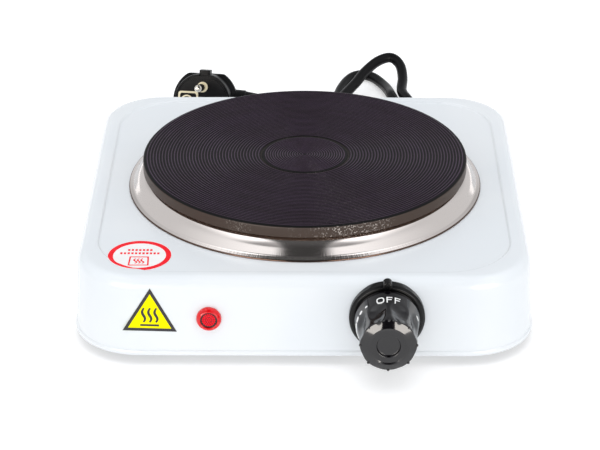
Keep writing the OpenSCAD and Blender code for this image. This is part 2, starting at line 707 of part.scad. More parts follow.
module plug_insert() color("cornsilk") in_plug() difference() {
    union() {
        translate([0, 0.4, 0]) insert_outline(1.2, 0);
        for (z = [-pin_gap, pin_gap])
            translate([0, -insert_out, z]) rotate([-90, 0, 0]) cylinder(h = insert_out + 0.41, r = 3.4);
        translate([-15.6, -insert_out, -6.5]) cube([13, insert_out + 0.41, 13]);
    }
    for (z = [-pin_gap, pin_gap]) translate([0, -2, z]) rotate([-90, 0, 0]) cylinder(h = 8, r = plug_pin_root_r);
    translate([-10, -2, 0]) rotate([-90, 0, 0]) cylinder(h = 8, r = 3.2);
}

module plug_pins() color("silver") in_plug() for (z = [-pin_gap, pin_gap])
    translate([0, -plug_pin_l, z]) rotate([-90, 0, 0]) {
        translate([0, 0, 1]) cylinder(h = plug_pin_l - 1 - insert_out, r = plug_pin_r);
        translate([0, 0, plug_pin_l - insert_out]) cylinder(h = 11, r = plug_pin_root_r);
        cylinder(h = 1, r1 = 1.6, r2 = plug_pin_r);
    }

module plug_earth_clips() color("silver") in_plug() for (x = [-1, 1])
    translate([x * (plug_r - 0.75) - 0.75, 0.8, -2.2]) cube([1.5, 11, 4.4]);

module plug_earth_socket() color("silver") in_plug() translate([-10, 1.7, 0]) rotate([-90, 0, 0]) difference() {
    cylinder(h = 13, r = 3.1);
    translate([0, 0, -1]) cylinder(h = 13, r = 2.5);
}

// ---- Stickers ----

module warning_sticker() color("gold") on_front_wall(-82.2, 20.5) rotate([0, 0, -1.5])
    translate([0, 0, 0.03]) linear_extrude(0.2) hull() {
        for (x = [-12.6, 12.6]) translate([x, 1.9]) circle(1.9, $fn = 24);
        translate([0, 23.4]) circle(1.9, $fn = 24);
    }

module round_sticker() color("white") translate([-88.8, -93.4, panel_z + 0.03])
    linear_extrude(0.2) intersection() {
        circle(17.4, $fn = 96);
        translate([88.8, 93.4]) rounded_square(panel_half - 1.2, panel_r - 1.2);
    }

body_shell();
base_plate();
base_screws();
rubber_feet();
foot_screws();
foot_nuts();
hot_plate();
trim_ring();
heating_coil();
plate_cement();
plate_back_cover();
plate_stud();
clamp_bar();
stud_washer();
stud_nut();
terminal_block();
plate_terminals();
heat_shield();
thermostat_bracket();
thermostat_bush();
thermostat_screws();
thermostat_ceramics();
stack_rivet();
bimetal_strip();
contact_leaf();
leaf_terminal();
fixed_contact();
push_pin();
spindle();
knob();
knob_clip();
knob_bezel();
lamp_lens();
lamp_housing();
lamp_bulb();
lamp_clip();
strain_relief();
cord_inner_end();
cord_clamp();
clamp_screws();
live_wire();
neutral_wire();
earth_wire();
link_wire();
lamp_lead_left();
lamp_lead_right();
crimp_tags();
earth_screw();
power_cord();
plug_body();
plug_insert();
plug_pins();
plug_earth_clips();
plug_earth_socket();
warning_sticker();
round_sticker();
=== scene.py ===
"""Looks of a free-standing electric hot plate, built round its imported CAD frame.

Lengths are millimetres until a mesh is made, and metres in Blender. The cooking plate is centred
on the Z axis, the table is z = 0 and the control side faces -Y, as in the frame.
"""

import json
import logging
import math
from dataclasses import dataclass, field
from enum import Enum

import bmesh
import bpy
import numpy as np
from mathutils import Matrix, Vector

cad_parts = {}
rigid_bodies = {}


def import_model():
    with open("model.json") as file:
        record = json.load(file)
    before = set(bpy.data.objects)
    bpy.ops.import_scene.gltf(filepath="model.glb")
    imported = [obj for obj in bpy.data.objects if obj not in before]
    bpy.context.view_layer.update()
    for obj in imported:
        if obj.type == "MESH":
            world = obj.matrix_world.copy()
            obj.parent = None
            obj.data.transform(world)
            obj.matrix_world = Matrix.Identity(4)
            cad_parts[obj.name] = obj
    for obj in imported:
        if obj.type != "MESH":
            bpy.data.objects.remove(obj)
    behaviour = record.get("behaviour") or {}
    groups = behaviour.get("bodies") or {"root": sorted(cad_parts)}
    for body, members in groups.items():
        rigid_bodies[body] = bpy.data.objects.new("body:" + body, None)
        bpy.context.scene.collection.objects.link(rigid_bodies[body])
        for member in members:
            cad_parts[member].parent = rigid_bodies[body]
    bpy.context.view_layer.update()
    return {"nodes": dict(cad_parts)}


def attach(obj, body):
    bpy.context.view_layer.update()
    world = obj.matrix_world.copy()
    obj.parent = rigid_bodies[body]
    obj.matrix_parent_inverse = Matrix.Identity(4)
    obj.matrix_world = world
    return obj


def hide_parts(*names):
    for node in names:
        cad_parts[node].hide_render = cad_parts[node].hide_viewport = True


LOG = logging.getLogger("hot_plate")
MM = 0.001
METRE = 1000.0
Point = tuple[float, float, float]
Flat = tuple[float, float]
Shape = tuple[list[Vector], list[list[int]]]


class Body(Enum):
    """The rigid bodies of the frame."""

    HOUSING = "root"
    KNOB = "knob_body"


# ---------------------------------------------------------------- shared node and mesh tools


def colour(code: str) -> tuple[float, float, float, float]:
    """Turns an sRGB hex colour to linear.

    Args:
        code: Six hex digits, such as "e6ebef".

    Returns:
        Linear red, green, blue and an alpha of 1.
    """
    parts = [int(code[i : i + 2], 16) / 255 for i in (0, 2, 4)]
    linear = [p / 12.92 if p <= 0.04045 else ((p + 0.055) / 1.055) ** 2.4 for p in parts]
    return (*linear, 1.0)


class Use(Enum):
    """Often used nodes: type, settings, the inputs that are given in order, and the output that is read."""

    ADD = ("ShaderNodeMath", {"operation": "ADD"}, (0, 1), 0)
    MULTIPLY = ("ShaderNodeMath", {"operation": "MULTIPLY"}, (0, 1), 0)
    MULTIPLY_ADD = ("ShaderNodeMath", {"operation": "MULTIPLY_ADD"}, (0, 1, 2), 0)
    DIVIDE = ("ShaderNodeMath", {"operation": "DIVIDE"}, (0, 1), 0)
    MAXIMUM = ("ShaderNodeMath", {"operation": "MAXIMUM"}, (0, 1), 0)
    ABSOLUTE = ("ShaderNodeMath", {"operation": "ABSOLUTE"}, (0,), 0)
    PINGPONG = ("ShaderNodeMath", {"operation": "PINGPONG"}, (0, 1), 0)
    SINE = ("ShaderNodeMath", {"operation": "SINE"}, (0,), 0)
    COSINE = ("ShaderNodeMath", {"operation": "COSINE"}, (0,), 0)
    ARCSINE = ("ShaderNodeMath", {"operation": "ARCSINE"}, (0,), 0)
    ARCTAN2 = ("ShaderNodeMath", {"operation": "ARCTAN2"}, (0, 1), 0)
    RAMP = ("ShaderNodeMapRange", {"interpolation_type": "SMOOTHSTEP"}, ("Value", "From Min", "From Max"), 0)
    SPREAD = ("ShaderNodeMapRange", {}, ("Value", "To Min", "To Max"), 0)
    MIX = ("ShaderNodeMix", {"data_type": "RGBA"}, (0, 6, 7), 2)
    NOISE = ("ShaderNodeTexNoise", {}, ("Vector", "Scale", "Detail"), "Fac")
    BUMP = ("ShaderNodeBump", {}, ("Height", "Distance", "Strength"), 0)
    VECTOR = ("ShaderNodeCombineXYZ", {}, (0, 1, 2), 0)
    LENGTH = ("ShaderNodeVectorMath", {"operation": "LENGTH"}, (0,), "Value")


class Graph:
    """A node tree that nodes are added to, with their settings and links."""

    def __init__(self, tree: bpy.types.NodeTree) -> None:
        """Starts from an empty tree."""
        self.tree = tree
        tree.nodes.clear()

    def fill(self, node: bpy.types.Node, inputs: dict) -> None:
        """Sets or links a node's inputs.

        Args:
            node: The node.
            inputs: Values or sockets by the input's name or number.
        """
        for key, value in inputs.items():
            if isinstance(value, bpy.types.NodeSocket):
                self.tree.links.new(value, node.inputs[key])
            else:
                node.inputs[key].default_value = value

    def add(self, kind: str, inputs: dict | None = None, **settings: object) -> bpy.types.Node:
        """Adds one node.

        Args:
            kind: The node's type name.
            inputs: Values or sockets by the input's name or number.
            settings: Attributes of the node.

        Returns:
            The new node.
        """
        node = self.tree.nodes.new(kind)
        for key, value in settings.items():
            setattr(node, key, value)
        self.fill(node, inputs or {})
        return node

    def use(self, what: Use, *values: object) -> bpy.types.NodeSocket:
        """Adds one of the often used nodes.

        Args:
            what: The kind of node.
            values: Values or sockets for its inputs, in the order that the kind gives.

        Returns:
            The output that the kind names.
        """
        kind, settings, inputs, output = what.value
        return self.add(kind, dict(zip(inputs, values)), **settings).outputs[output]

    def polar(self, place: bpy.types.NodeSocket) -> tuple[bpy.types.NodeSocket, ...]:
        """Splits a place on a turned piece.

        Args:
            place: The place as a vector.

        Returns:
            Its distance from the Z axis, its turn about it and its height.
        """
        x, y, z = self.add("ShaderNodeSeparateXYZ", {0: place}).outputs
        return self.use(Use.LENGTH, self.use(Use.VECTOR, x, y)), self.use(Use.ARCTAN2, y, x), z


def rounded(start: Vector, corner: Vector, end: Vector, steps: int) -> list[Flat]:
    """A curve from start to end that is drawn towards a corner.

    Args:
        start: Where the curve begins.
        corner: The corner that it rounds.
        end: Where the curve ends.
        steps: Segments in the curve.

    Returns:
        The curve's points, with both ends.
    """
    parts = [k / steps for k in range(steps + 1)]
    return [tuple((1 - t) ** 2 * start + 2 * t * (1 - t) * corner + t * t * end) for t in parts]


def fillet(points: list[tuple[float, ...]], steps: int = 5) -> list[Flat]:
    """Rounds the corners of an outline.

    Args:
        points: (x, y) or (x, y, radius) for each corner, in order.
        steps: Segments in each rounded corner.

    Returns:
        The outline with each corner that has a radius turned into an arc.
    """
    out: list[Flat] = []
    count = len(points)
    for i, point in enumerate(points):
        here = Vector(point[:2])
        radius = point[2] if len(point) > 2 else 0.0
        if radius <= 0 or i in (0, count - 1):
            out.append(tuple(here))
            continue
        back = Vector(points[i - 1][:2]) - here
        ahead = Vector(points[(i + 1) % count][:2]) - here
        angle = back.angle(ahead)
        reach = min(radius / math.tan(angle / 2), back.length * 0.49, ahead.length * 0.49)
        start, end = here + back.normalized() * reach, here + ahead.normalized() * reach
        out += rounded(start, here, end, steps)
    return out


def loft(rings: list[list[Vector]], closed: bool = False) -> Shape:
    """Skins a row of rings.

    Args:
        rings: Rings of equally many points. A ring of one point is a pole.
        closed: Whether the last ring joins the first.

    Returns:
        Points and faces.
    """
    points = [p for ring in rings for p in ring]
    starts = list(np.cumsum([0] + [len(r) for r in rings]))
    faces: list[list[int]] = []
    pairs = list(zip(range(len(rings)), range(1, len(rings))))
    if closed:
        pairs.append((len(rings) - 1, 0))
    for a, b in pairs:
        n, m = len(rings[a]), len(rings[b])
        for k in range(max(n, m)):
            quad = [starts[a] + k % n, starts[a] + (k + 1) % n, starts[b] + (k + 1) % m, starts[b] + k % m]
            faces.append(list(dict.fromkeys(int(q) for q in quad)))
    if not closed:
        for i in (0, len(rings) - 1):
            if len(rings[i]) > 1:
                faces.append([int(starts[i]) + k for k in range(len(rings[i]))])
    return points, faces


def revolve(profile: list[Flat], segments: int = 128, closed: bool = False) -> Shape:
    """Turns a profile about the Z axis.

    Args:
        profile: (radius, height) for each point.
        segments: Steps in a whole turn.
        closed: Whether the profile closes on itself, as a ring's section does.

    Returns:
        Points and faces.
    """
    turns = [math.tau * k / segments for k in range(segments)]
    rings = [
        [Vector((r * math.cos(a), r * math.sin(a), z)) for a in (turns if abs(r) > 1e-6 else turns[:1])]
        for r, z in profile
    ]
    return loft(rings, closed)


def prism(outline: list[Flat], low: float, high: float) -> Shape:
    """A flat outline with a thickness from low to high."""
    return loft([[Vector((x, y, z)) for x, y in outline] for z in (low, high)])


def block(left: float, right: float, bottom: float, top: float, low: float, high: float) -> Shape:
    """A rectangle with a thickness from low to high."""
    return prism([(left, bottom), (right, bottom), (right, top), (left, top)], low, high)


def arc(cx: float, cy: float, r: float, start: float, end: float, steps: int) -> list[Flat]:
    """Points along an arc, with its angles in degrees."""
    angles = [math.radians(start + (end - start) * k / steps) for k in range(steps + 1)]
    return [(cx + r * math.cos(a), cy + r * math.sin(a)) for a in angles]


def ribbon(path: list[Flat], widths: list[float]) -> list[Flat]:
    """The outline of a band of varying width.

    Args:
        path: The flat line that it follows.
        widths: Its width at each point of the path.

    Returns:
        The outline, once round.
    """
    left: list[Flat] = []
    right: list[Flat] = []
    for i, (x, y) in enumerate(path):
        ahead = Vector(path[min(i + 1, len(path) - 1)]) - Vector(path[max(i - 1, 0)])
        side = Vector((-ahead.y, ahead.x)).normalized() * widths[i] / 2
        left.append((x + side.x, y + side.y))
        right.append((x - side.x, y - side.y))
    return left + right[::-1]


def moved(shape: Shape, place: Matrix) -> Shape:
    """The shape turned and moved by a matrix in millimetres."""
    return [place @ p for p in shape[0]], shape[1]


def in_metres(place: Matrix) -> Matrix:
    """A matrix in millimetres as one for a finished mesh."""
    return Matrix.Scale(MM, 4) @ place @ Matrix.Scale(1 / MM, 4)


def joined(shapes: list[Shape]) -> Shape:
    """Puts several shapes into one.

    Args:
        shapes: The shapes.

    Returns:
        Their points and faces.
    """
    points: list[Vector] = []
    faces: list[list[int]] = []
    for more_points, more_faces in shapes:
        start = len(points)
        points += more_points
        faces += [[start + i for i in f] for f in more_faces]
    return points, faces


def mesh_object(name: str, shape: Shape, sharp_deg: float = 32.0) -> bpy.types.Object:
    """Makes a smooth-shaded mesh object with its faces outwards.

    Args:
        name: The piece's name.
        shape: Points in millimetres and faces.
        sharp_deg: Edges that turn more than this stay sharp.

    Returns:
        The new object, at the origin, with its place in its mesh.
    """
    mesh = bpy.data.meshes.new(name)
    mesh.from_pydata([tuple(p * MM) for p in shape[0]], [], shape[1])
    tidy(mesh, sharp_deg)
    obj = bpy.data.objects.new(name, mesh)
    bpy.context.scene.collection.objects.link(obj)
    return obj


def tidy(mesh: bpy.types.Mesh, sharp_deg: float) -> None:
    """Merges doubled points, turns the faces outwards and shades them smooth.

    Args:
        mesh: The mesh, in metres.
        sharp_deg: Edges that turn more than this stay sharp.
    """
    work = bmesh.new()
    work.from_mesh(mesh)
    bmesh.ops.remove_doubles(work, verts=work.verts, dist=0.004 * MM)
    bmesh.ops.dissolve_degenerate(work, edges=work.edges, dist=0.001 * MM)
    bmesh.ops.recalc_face_normals(work, faces=work.faces)
    work.to_mesh(mesh)
    work.free()
    mesh.polygons.foreach_set("use_smooth", [True] * len(mesh.polygons))
    mesh.set_sharp_from_angle(angle=math.radians(sharp_deg))


def baked(obj: bpy.types.Object, sharp_deg: float | None = None) -> bpy.types.Object:
    """Turns an object and its modifiers into one plain mesh object of the same name.

    Args:
        obj: The object, which is removed.
        sharp_deg: Edges that turn more than this stay sharp. None leaves the mesh as it is.

    Returns:
        The plain object.
    """
    name = obj.name
    graph = bpy.context.evaluated_depsgraph_get()
    mesh = bpy.data.meshes.new_from_object(obj.evaluated_get(graph), depsgraph=graph)
    bpy.data.objects.remove(obj)
    plain = bpy.data.objects.new(name, mesh)
    mesh.name = name
    bpy.context.scene.collection.objects.link(plain)
    if sharp_deg is not None:
        tidy(mesh, sharp_deg)
    return plain


def cut(obj: bpy.types.Object, cutter: Shape) -> bpy.types.Object:
    """Cuts a closed shape out of an object.

    Args:
        obj: The object, which is removed.
        cutter: The shape that is taken away.

    Returns:
        The cut object.
    """
    tool = mesh_object("cutter", cutter)
    step = obj.modifiers.new("cut", "BOOLEAN")
    step.object = tool
    step.solver = "EXACT"
    plain = baked(obj, 32.0)
    bpy.data.objects.remove(tool)
    return plain


def dress(
    obj: bpy.types.Object, finish: "Finish", body: Body = Body.HOUSING,
    replaces: tuple[str, ...] = (),
) -> bpy.types.Object:
    """Finishes a mesh or a curve.

    Args:
        obj: The piece.
        finish: Its finish, unless it has a material already.
        body: The rigid body that it moves with.
        replaces: The CAD nodes that it takes the place of.

    Returns:
        The same piece.
    """
    if not obj.data.materials:
        obj.data.materials.append(finish.material())
    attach(obj, body.value)
    if replaces:
        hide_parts(*replaces)
    LOG.info("%s in %s", obj.name, finish.name)
    return obj


# ---------------------------------------------------------------- repeating geometry


class NodeShape:
    """A Geometry Nodes tree with named inputs that is run once to make a plain mesh."""

    def __init__(self, name: str, inputs: dict[str, float | int]) -> None:
        """Makes the tree's inputs.

        Args:
            name: The tree's name.
            inputs: Each input's name and value, in metres where it is a length.
        """
        self.tree = bpy.data.node_groups.new(name, "GeometryNodeTree")
        self.inputs = inputs
        self.tree.interface.new_socket("Geometry", in_out="OUTPUT", socket_type="NodeSocketGeometry")
        self.ids = {}
        for key, value in inputs.items():
            kind = "NodeSocketInt" if isinstance(value, int) else "NodeSocketFloat"
            self.ids[key] = self.tree.interface.new_socket(key, in_out="INPUT", socket_type=kind).identifier
        self.graph = Graph(self.tree)
        self.source = self.graph.add("NodeGroupInput")

    def get(self, key: str) -> bpy.types.NodeSocket:
        """The socket of a named input."""
        return self.source.outputs[key]

    def run(self, geometry: bpy.types.NodeSocket, finish: "Finish", name: str) -> bpy.types.Object:
        """Ends the tree in Realize Instances and Set Material, and makes the mesh.

        Args:
            geometry: The socket that holds the finished geometry.
            finish: The finish of the new piece.
            name: The new piece's name.

        Returns:
            A plain mesh object.
        """
        real = self.graph.add("GeometryNodeRealizeInstances", {"Geometry": geometry})
        inputs = {"Geometry": real.outputs[0], "Material": finish.material()}
        painted = self.graph.add("GeometryNodeSetMaterial", inputs)
        self.graph.add("NodeGroupOutput", {0: painted.outputs[0]})
        obj = bpy.data.objects.new(name, bpy.data.meshes.new(name))
        bpy.context.scene.collection.objects.link(obj)
        step = obj.modifiers.new(self.tree.name, "NODES")
        step.node_group = self.tree
        for key, value in self.inputs.items():
            step[self.ids[key]] = value
        return baked(obj)


# ---------------------------------------------------------------- finishes


@dataclass(frozen=True)
class Finish:
    """A material with a fine mottled colour and grain, which the finishes below add to."""

    name: str
    base: str
    shade: str = ""
    roughness: float = 0.5
    rough_spread: float = 0.08
    metallic: float = 0.0
    grain_mm: float = 1.2
    bump_mm: float = 0.02
    ior: float = 1.5
    coat: float = 0.0
    transmission: float = 0.0
    glow: float = 0.0

    def material(self) -> bpy.types.Material:
        """The finish's material, made on first use."""
        name = f"look_{self.name}"
        found = bpy.data.materials.get(name)
        if found:
            return found
        made = bpy.data.materials.new(name)
        made.use_nodes = True
        graph = Graph(made.node_tree)
        shader = graph.add("ShaderNodeBsdfPrincipled", {"Metallic": self.metallic, "Roughness": self.roughness})
        if self.metallic < 0.5:
            shader.inputs["IOR"].default_value = self.ior
        shader.inputs["Coat Weight"].default_value = self.coat
        shader.inputs["Coat Roughness"].default_value = 0.06
        shader.inputs["Transmission Weight"].default_value = self.transmission
        if self.glow:
            shader.inputs["Emission Color"].default_value = colour(self.base)
            shader.inputs["Emission Strength"].default_value = self.glow
        place = graph.add("ShaderNodeTexCoord").outputs["Object"]
        self.paint(graph, shader, place)
        graph.add("ShaderNodeOutputMaterial", {"Surface": shader.outputs[0]})
        made.diffuse_color = colour(self.base)
        return made

    def paint(self, graph: Graph, shader: bpy.types.Node, place: bpy.types.NodeSocket) -> None:
        """Mottles the colour and roughness, and raises the grain.

        Args:
            graph: The material's node tree.
            shader: Its shader.
            place: The place on the piece.
        """
        grain = graph.use(Use.NOISE, place, METRE / self.grain_mm, 3.0)
        cloud = graph.use(Use.NOISE, place, METRE / (self.grain_mm * 14), 2.0)
        blotch = graph.use(Use.RAMP, cloud, 0.3, 0.7)
        tone = graph.use(Use.MIX, blotch, colour(self.base), colour(self.shade or self.base))
        low, high = max(self.roughness - self.rough_spread, 0.02), min(self.roughness + self.rough_spread, 1.0)
        rough = graph.use(Use.SPREAD, grain, low, high)
        normal = graph.use(Use.BUMP, grain, self.bump_mm * MM, 1.0)
        graph.fill(shader, {"Base Color": tone, "Roughness": rough, "Normal": normal})


@dataclass(frozen=True)
class Enamel(Finish):
    """Fired vitreous enamel: glassy, with a faint orange peel and an uneven flow over the steel."""

    peel_mm: float = 2.6
    wave_mm: float = 38.0
    cloud_mm: float = 70.0

    def paint(self, graph: Graph, shader: bpy.types.Node, place: bpy.types.NodeSocket) -> None:
        """Adds the peel, a slow wave and a faint bluish cloud."""
        peel = graph.use(Use.NOISE, place, METRE / self.peel_mm, 1.0)
        wave = graph.use(Use.NOISE, place, METRE / self.wave_mm, 1.0)
        cloud = graph.use(Use.NOISE, place, METRE / self.cloud_mm, 2.0)
        tone = graph.use(Use.MIX, graph.use(Use.RAMP, cloud, 0.35, 0.65), colour(self.base), colour(self.shade))
        rough = graph.use(Use.SPREAD, cloud, 0.16, 0.26)
        height = graph.use(Use.MULTIPLY_ADD, wave, 6.0, peel)
        normal = graph.use(Use.BUMP, height, self.bump_mm * MM, 1.0)
        graph.fill(shader, {"Base Color": tone, "Roughness": rough, "Normal": normal})


@dataclass(frozen=True)
class TurnedIron(Finish):
    """Cast iron turned on a lathe and blackened: rings of tool marks, dusty and rubbed in places, with painted
    shade on the face between the ridges and on their low flanks, and a painted highlight on their crests.
    """

    rim: str = "463a33"
    rubbed: str = "b5aca4"
    # Colours of the painted shade between and low on the ridges, and of the painted highlight on their crests.
    painted_groove_shade: str = "030203"
    painted_crest_highlight: str = "5a4a58"
    top_mm: float = 66.2
    tool_mark_mm: float = 0.7
    band_mm: float = 5.0
    cloud_mm: float = 30.0
    dust_mm: float = 0.9

    def paint(self, graph: Graph, shader: bpy.types.Node, place: bpy.types.NodeSocket) -> None:
        """Colours the face and rim, paints shade between the ridges and low on them, paints a highlight on their
        crests, and adds tool marks, rubbed rings and bright nicks.
        """
        radius, turn, z = graph.polar(place)
        along = graph.use(Use.MULTIPLY, turn, 0.012)
        rings = graph.use(Use.VECTOR, radius, along, z)
        tool_marks = graph.use(Use.NOISE, rings, METRE / self.tool_mark_mm, 2.0)
        bands = graph.use(Use.NOISE, rings, METRE / self.band_mm, 2.0)
        cloud = graph.use(Use.NOISE, place, METRE / self.cloud_mm, 3.0)
        dust = graph.use(Use.NOISE, place, METRE / self.dust_mm, 4.0)
        face = graph.use(Use.MIX, graph.use(Use.RAMP, bands, 0.3, 0.75), colour(self.base), colour(self.shade))
        # Painted shade: the face between the ridges and the low flanks of the ridges turn near-black.
        flank = graph.use(Use.RAMP, z, (self.top_mm + 0.5) * MM, (self.top_mm + 0.72) * MM)
        face = graph.use(Use.MIX, flank, colour(self.painted_groove_shade), face)
        # Painted highlight: the tops of the ridges turn lighter.
        painted_crest_highlight = graph.use(Use.RAMP, z, (self.top_mm + 0.74) * MM, (self.top_mm + 0.8) * MM)
        face = graph.use(Use.MIX, painted_crest_highlight, face, colour(self.painted_crest_highlight))
        is_rim = graph.use(Use.RAMP, z, (self.top_mm + 0.3) * MM, (self.top_mm - 0.2) * MM)
        tone = graph.use(Use.MIX, is_rim, face, colour(self.rim))
        handled = graph.use(Use.RAMP, graph.use(Use.ABSOLUTE, graph.use(Use.ADD, turn, 1.28)), 0.3, 0.1)
        patches = graph.use(Use.MULTIPLY, graph.use(Use.RAMP, cloud, 0.5, 0.62), 0.4)
        worn = graph.use(Use.MAXIMUM, handled, patches)
        nicks = graph.use(Use.MULTIPLY, graph.use(Use.RAMP, dust, 0.54, 0.66), worn)
        nicks = graph.use(Use.MULTIPLY, nicks, graph.use(Use.MULTIPLY_ADD, is_rim, 0.9, 0.06))
        tone = graph.use(Use.MIX, nicks, tone, colour(self.rubbed))
        rough = graph.use(Use.SPREAD, tool_marks, 0.34, 0.5)
        height = graph.use(Use.ADD, tool_marks, graph.use(Use.MULTIPLY, dust, 0.6))
        normal = graph.use(Use.BUMP, height, self.bump_mm * MM, 1.0)
        graph.fill(shader, {"Base Color": tone, "Roughness": rough, "Normal": normal})


@dataclass(frozen=True)
class SpunSteel(Finish):
    """Stainless sheet pressed and buffed round and round: a mirror with fine circular hairlines, and a brown
    painted shade at its outermost edge, where it meets the panel.
    """

    hair_mm: float = 0.35
    mark_mm: float = 1.0

    def paint(self, graph: Graph, shader: bpy.types.Node, place: bpy.types.NodeSocket) -> None:
        """Adds hairlines round the ring, small drawing marks along its foot, and a brown painted shade at its
        outermost edge.
        """
        radius, turn, z = graph.polar(place)
        hair_at = graph.use(Use.VECTOR, radius, graph.use(Use.MULTIPLY, turn, 0.004), z)
        hair = graph.use(Use.NOISE, hair_at, METRE / self.hair_mm, 2.0)
        mark_at = graph.use(Use.VECTOR, graph.use(Use.MULTIPLY, turn, 0.1))
        marks = graph.use(Use.NOISE, mark_at, METRE / self.mark_mm, 2.0)
        foot = graph.use(Use.RAMP, radius, 0.0965, 0.1)
        rough = graph.use(Use.SPREAD, hair, 0.07, 0.16)
        # Painted shade: the outermost edge, where the ring's foot meets the panel, turns brown.
        edge = graph.use(Use.RAMP, radius, 0.1002, 0.1007)
        tone = graph.use(Use.MIX, edge, colour(self.base), colour(self.shade))
        height = graph.use(Use.MULTIPLY_ADD, graph.use(Use.MULTIPLY, marks, foot), 110.0, hair)
        normal = graph.use(Use.BUMP, height, self.bump_mm * MM, 1.0)
        graph.fill(shader, {"Base Color": tone, "Roughness": rough, "Normal": normal})


@dataclass(frozen=True)
class StripedWire(Finish):
    """Extruded two-colour insulation: the stripe runs along the conductor."""

    def paint(self, graph: Graph, shader: bpy.types.Node, place: bpy.types.NodeSocket) -> None:
        """Splits the two colours across the wire."""
        across = graph.add("ShaderNodeSeparateXYZ", {0: place}).outputs[0]
        stripe = graph.use(Use.PINGPONG, across, 0.0013)
        side = graph.use(Use.RAMP, stripe, 0.0006, 0.0007)
        tone = graph.use(Use.MIX, side, colour(self.base), colour(self.shade))
        grain = graph.use(Use.NOISE, place, METRE / self.grain_mm, 3.0)
        normal = graph.use(Use.BUMP, grain, self.bump_mm * MM, 1.0)
        graph.fill(shader, {"Base Color": tone, "Normal": normal})


# White vitreous enamel on steel: cool, glassy, slightly uneven.
ENAMEL = Enamel("vitreous_enamel", "e5e8ea", "e1e5e8", roughness=0.2, bump_mm=0.006, coat=0.1)
# Blackened grey cast iron: dark aubergine, dull, with turned rings; near-black painted shade between the ridges
# and a lighter painted highlight on their crests.
IRON = TurnedIron("turned_cast_iron", "2b1e2b", "36283a", roughness=0.5, bump_mm=0.012, ior=1.26)
# Buffed 18/10 stainless sheet: mirror with hairlines; its brown second colour is painted shade along the
# outermost edge, where the foot meets the panel.
STAINLESS = SpunSteel("buffed_stainless", "ece4df", "5e4a40", roughness=0.1, metallic=1.0, bump_mm=0.0006)
# Compression-moulded phenolic: very glossy black.
PHENOLIC = Finish("black_phenolic", "08060a", "0a080c", 0.09, 0.03, grain_mm=0.8, bump_mm=0.0004, ior=1.58)
# The fixed bezel: the same black, dulled by its mould.
BEZEL = Finish("dull_phenolic", "070708", "0a0a0b", 0.22, 0.05, grain_mm=0.6, bump_mm=0.002, ior=1.32)
# Soft PVC sheath and plug: satin black with a fine moulded grain.
PVC = Finish("black_pvc", "040305", "070608", 0.4, 0.1, grain_mm=0.5, bump_mm=0.005, ior=1.26)
# Screen-printed white ink on the dial.
WHITE_INK = Finish("white_ink", "f4f4f2", "eeeeec", 0.45, 0.05, grain_mm=0.4, bump_mm=0.002)
# Printed polyester film: flat colours under a thin clear layer.
YELLOW_FILM = Finish("yellow_film", "fbf100", "faee00", 0.4, 0.05, grain_mm=0.6, bump_mm=0.003, ior=1.12)
WHITE_FILM = Finish("white_film", "f6f6f4", "f1f1f0", 0.32, 0.05, grain_mm=0.6, bump_mm=0.003, coat=0.3)
BLACK_INK = Finish("black_ink", "232027", "1d1b20", 0.35, 0.05, grain_mm=0.4, bump_mm=0.002)
RED_INK = Finish("red_ink", "f42330", "ee1c2a", 0.4, 0.05, grain_mm=0.4, bump_mm=0.002, ior=1.2)
# Clear red polycarbonate; its glow is painted light that stands in for light gathered at its edges. The darker
# well round the prisms is painted shade of the lamp's inside.
RED_LENS = Finish("red_polycarbonate", "e80c18", "e00814", 0.08, 0.03, grain_mm=2.0, bump_mm=0.001, ior=1.5,
                  transmission=0.25, glow=0.1)
# The prisms' glow is painted light: a painted glint on them.
RED_PRISM = Finish("red_prisms", "e6162a", "f0283a", 0.12, 0.04, grain_mm=1.0, bump_mm=0.001, ior=1.58, glow=0.2)
RED_WELL_PAINTED_SHADE = Finish("red_well_painted_shade", "1c0204", "120103", 0.2, 0.05, grain_mm=1.0, bump_mm=0.001)
# Moulded nylon of the plug's face and the cable clamp.
CREAM_NYLON = Finish("cream_nylon", "e8dcbc", "e0d2ae", 0.4, 0.06, grain_mm=0.6, bump_mm=0.006)
# Bright nickel plating on brass.
NICKEL = Finish("nickel_plate", "dcd8cf", "d2cdc2", 0.14, 0.05, metallic=1.0, grain_mm=0.3, bump_mm=0.002)
# Zinc-plated steel: spangled, dull silver.
ZINC = Finish("zinc_plated_steel", "b9bcbf", "a5a9ad", 0.36, 0.1, metallic=1.0, grain_mm=2.4, bump_mm=0.006)
SCREW = Finish("bright_zinc_screw", "c9c8c2", "bdbcb4", 0.28, 0.08, metallic=1.0, grain_mm=0.5, bump_mm=0.006)
ALUMINISED = Finish("aluminised_sheet", "c5c8ca", "b8bbbd", 0.34, 0.1, metallic=1.0, grain_mm=1.6, bump_mm=0.005)
BRASS = Finish("stamped_brass", "c9a45c", "b9924a", 0.3, 0.08, metallic=1.0, grain_mm=0.8, bump_mm=0.004)
BRONZE = Finish("spring_bronze", "b3814f", "a57444", 0.28, 0.08, metallic=1.0, grain_mm=0.8, bump_mm=0.003)
BIMETAL = Finish("rolled_bimetal", "a39a8c", "948a7c", 0.3, 0.08, metallic=1.0, grain_mm=0.8, bump_mm=0.003)
OXIDISED = Finish("oxidised_wire", "5b5a5a", "4a4a4b", 0.6, 0.1, metallic=0.8, grain_mm=0.6, bump_mm=0.03)
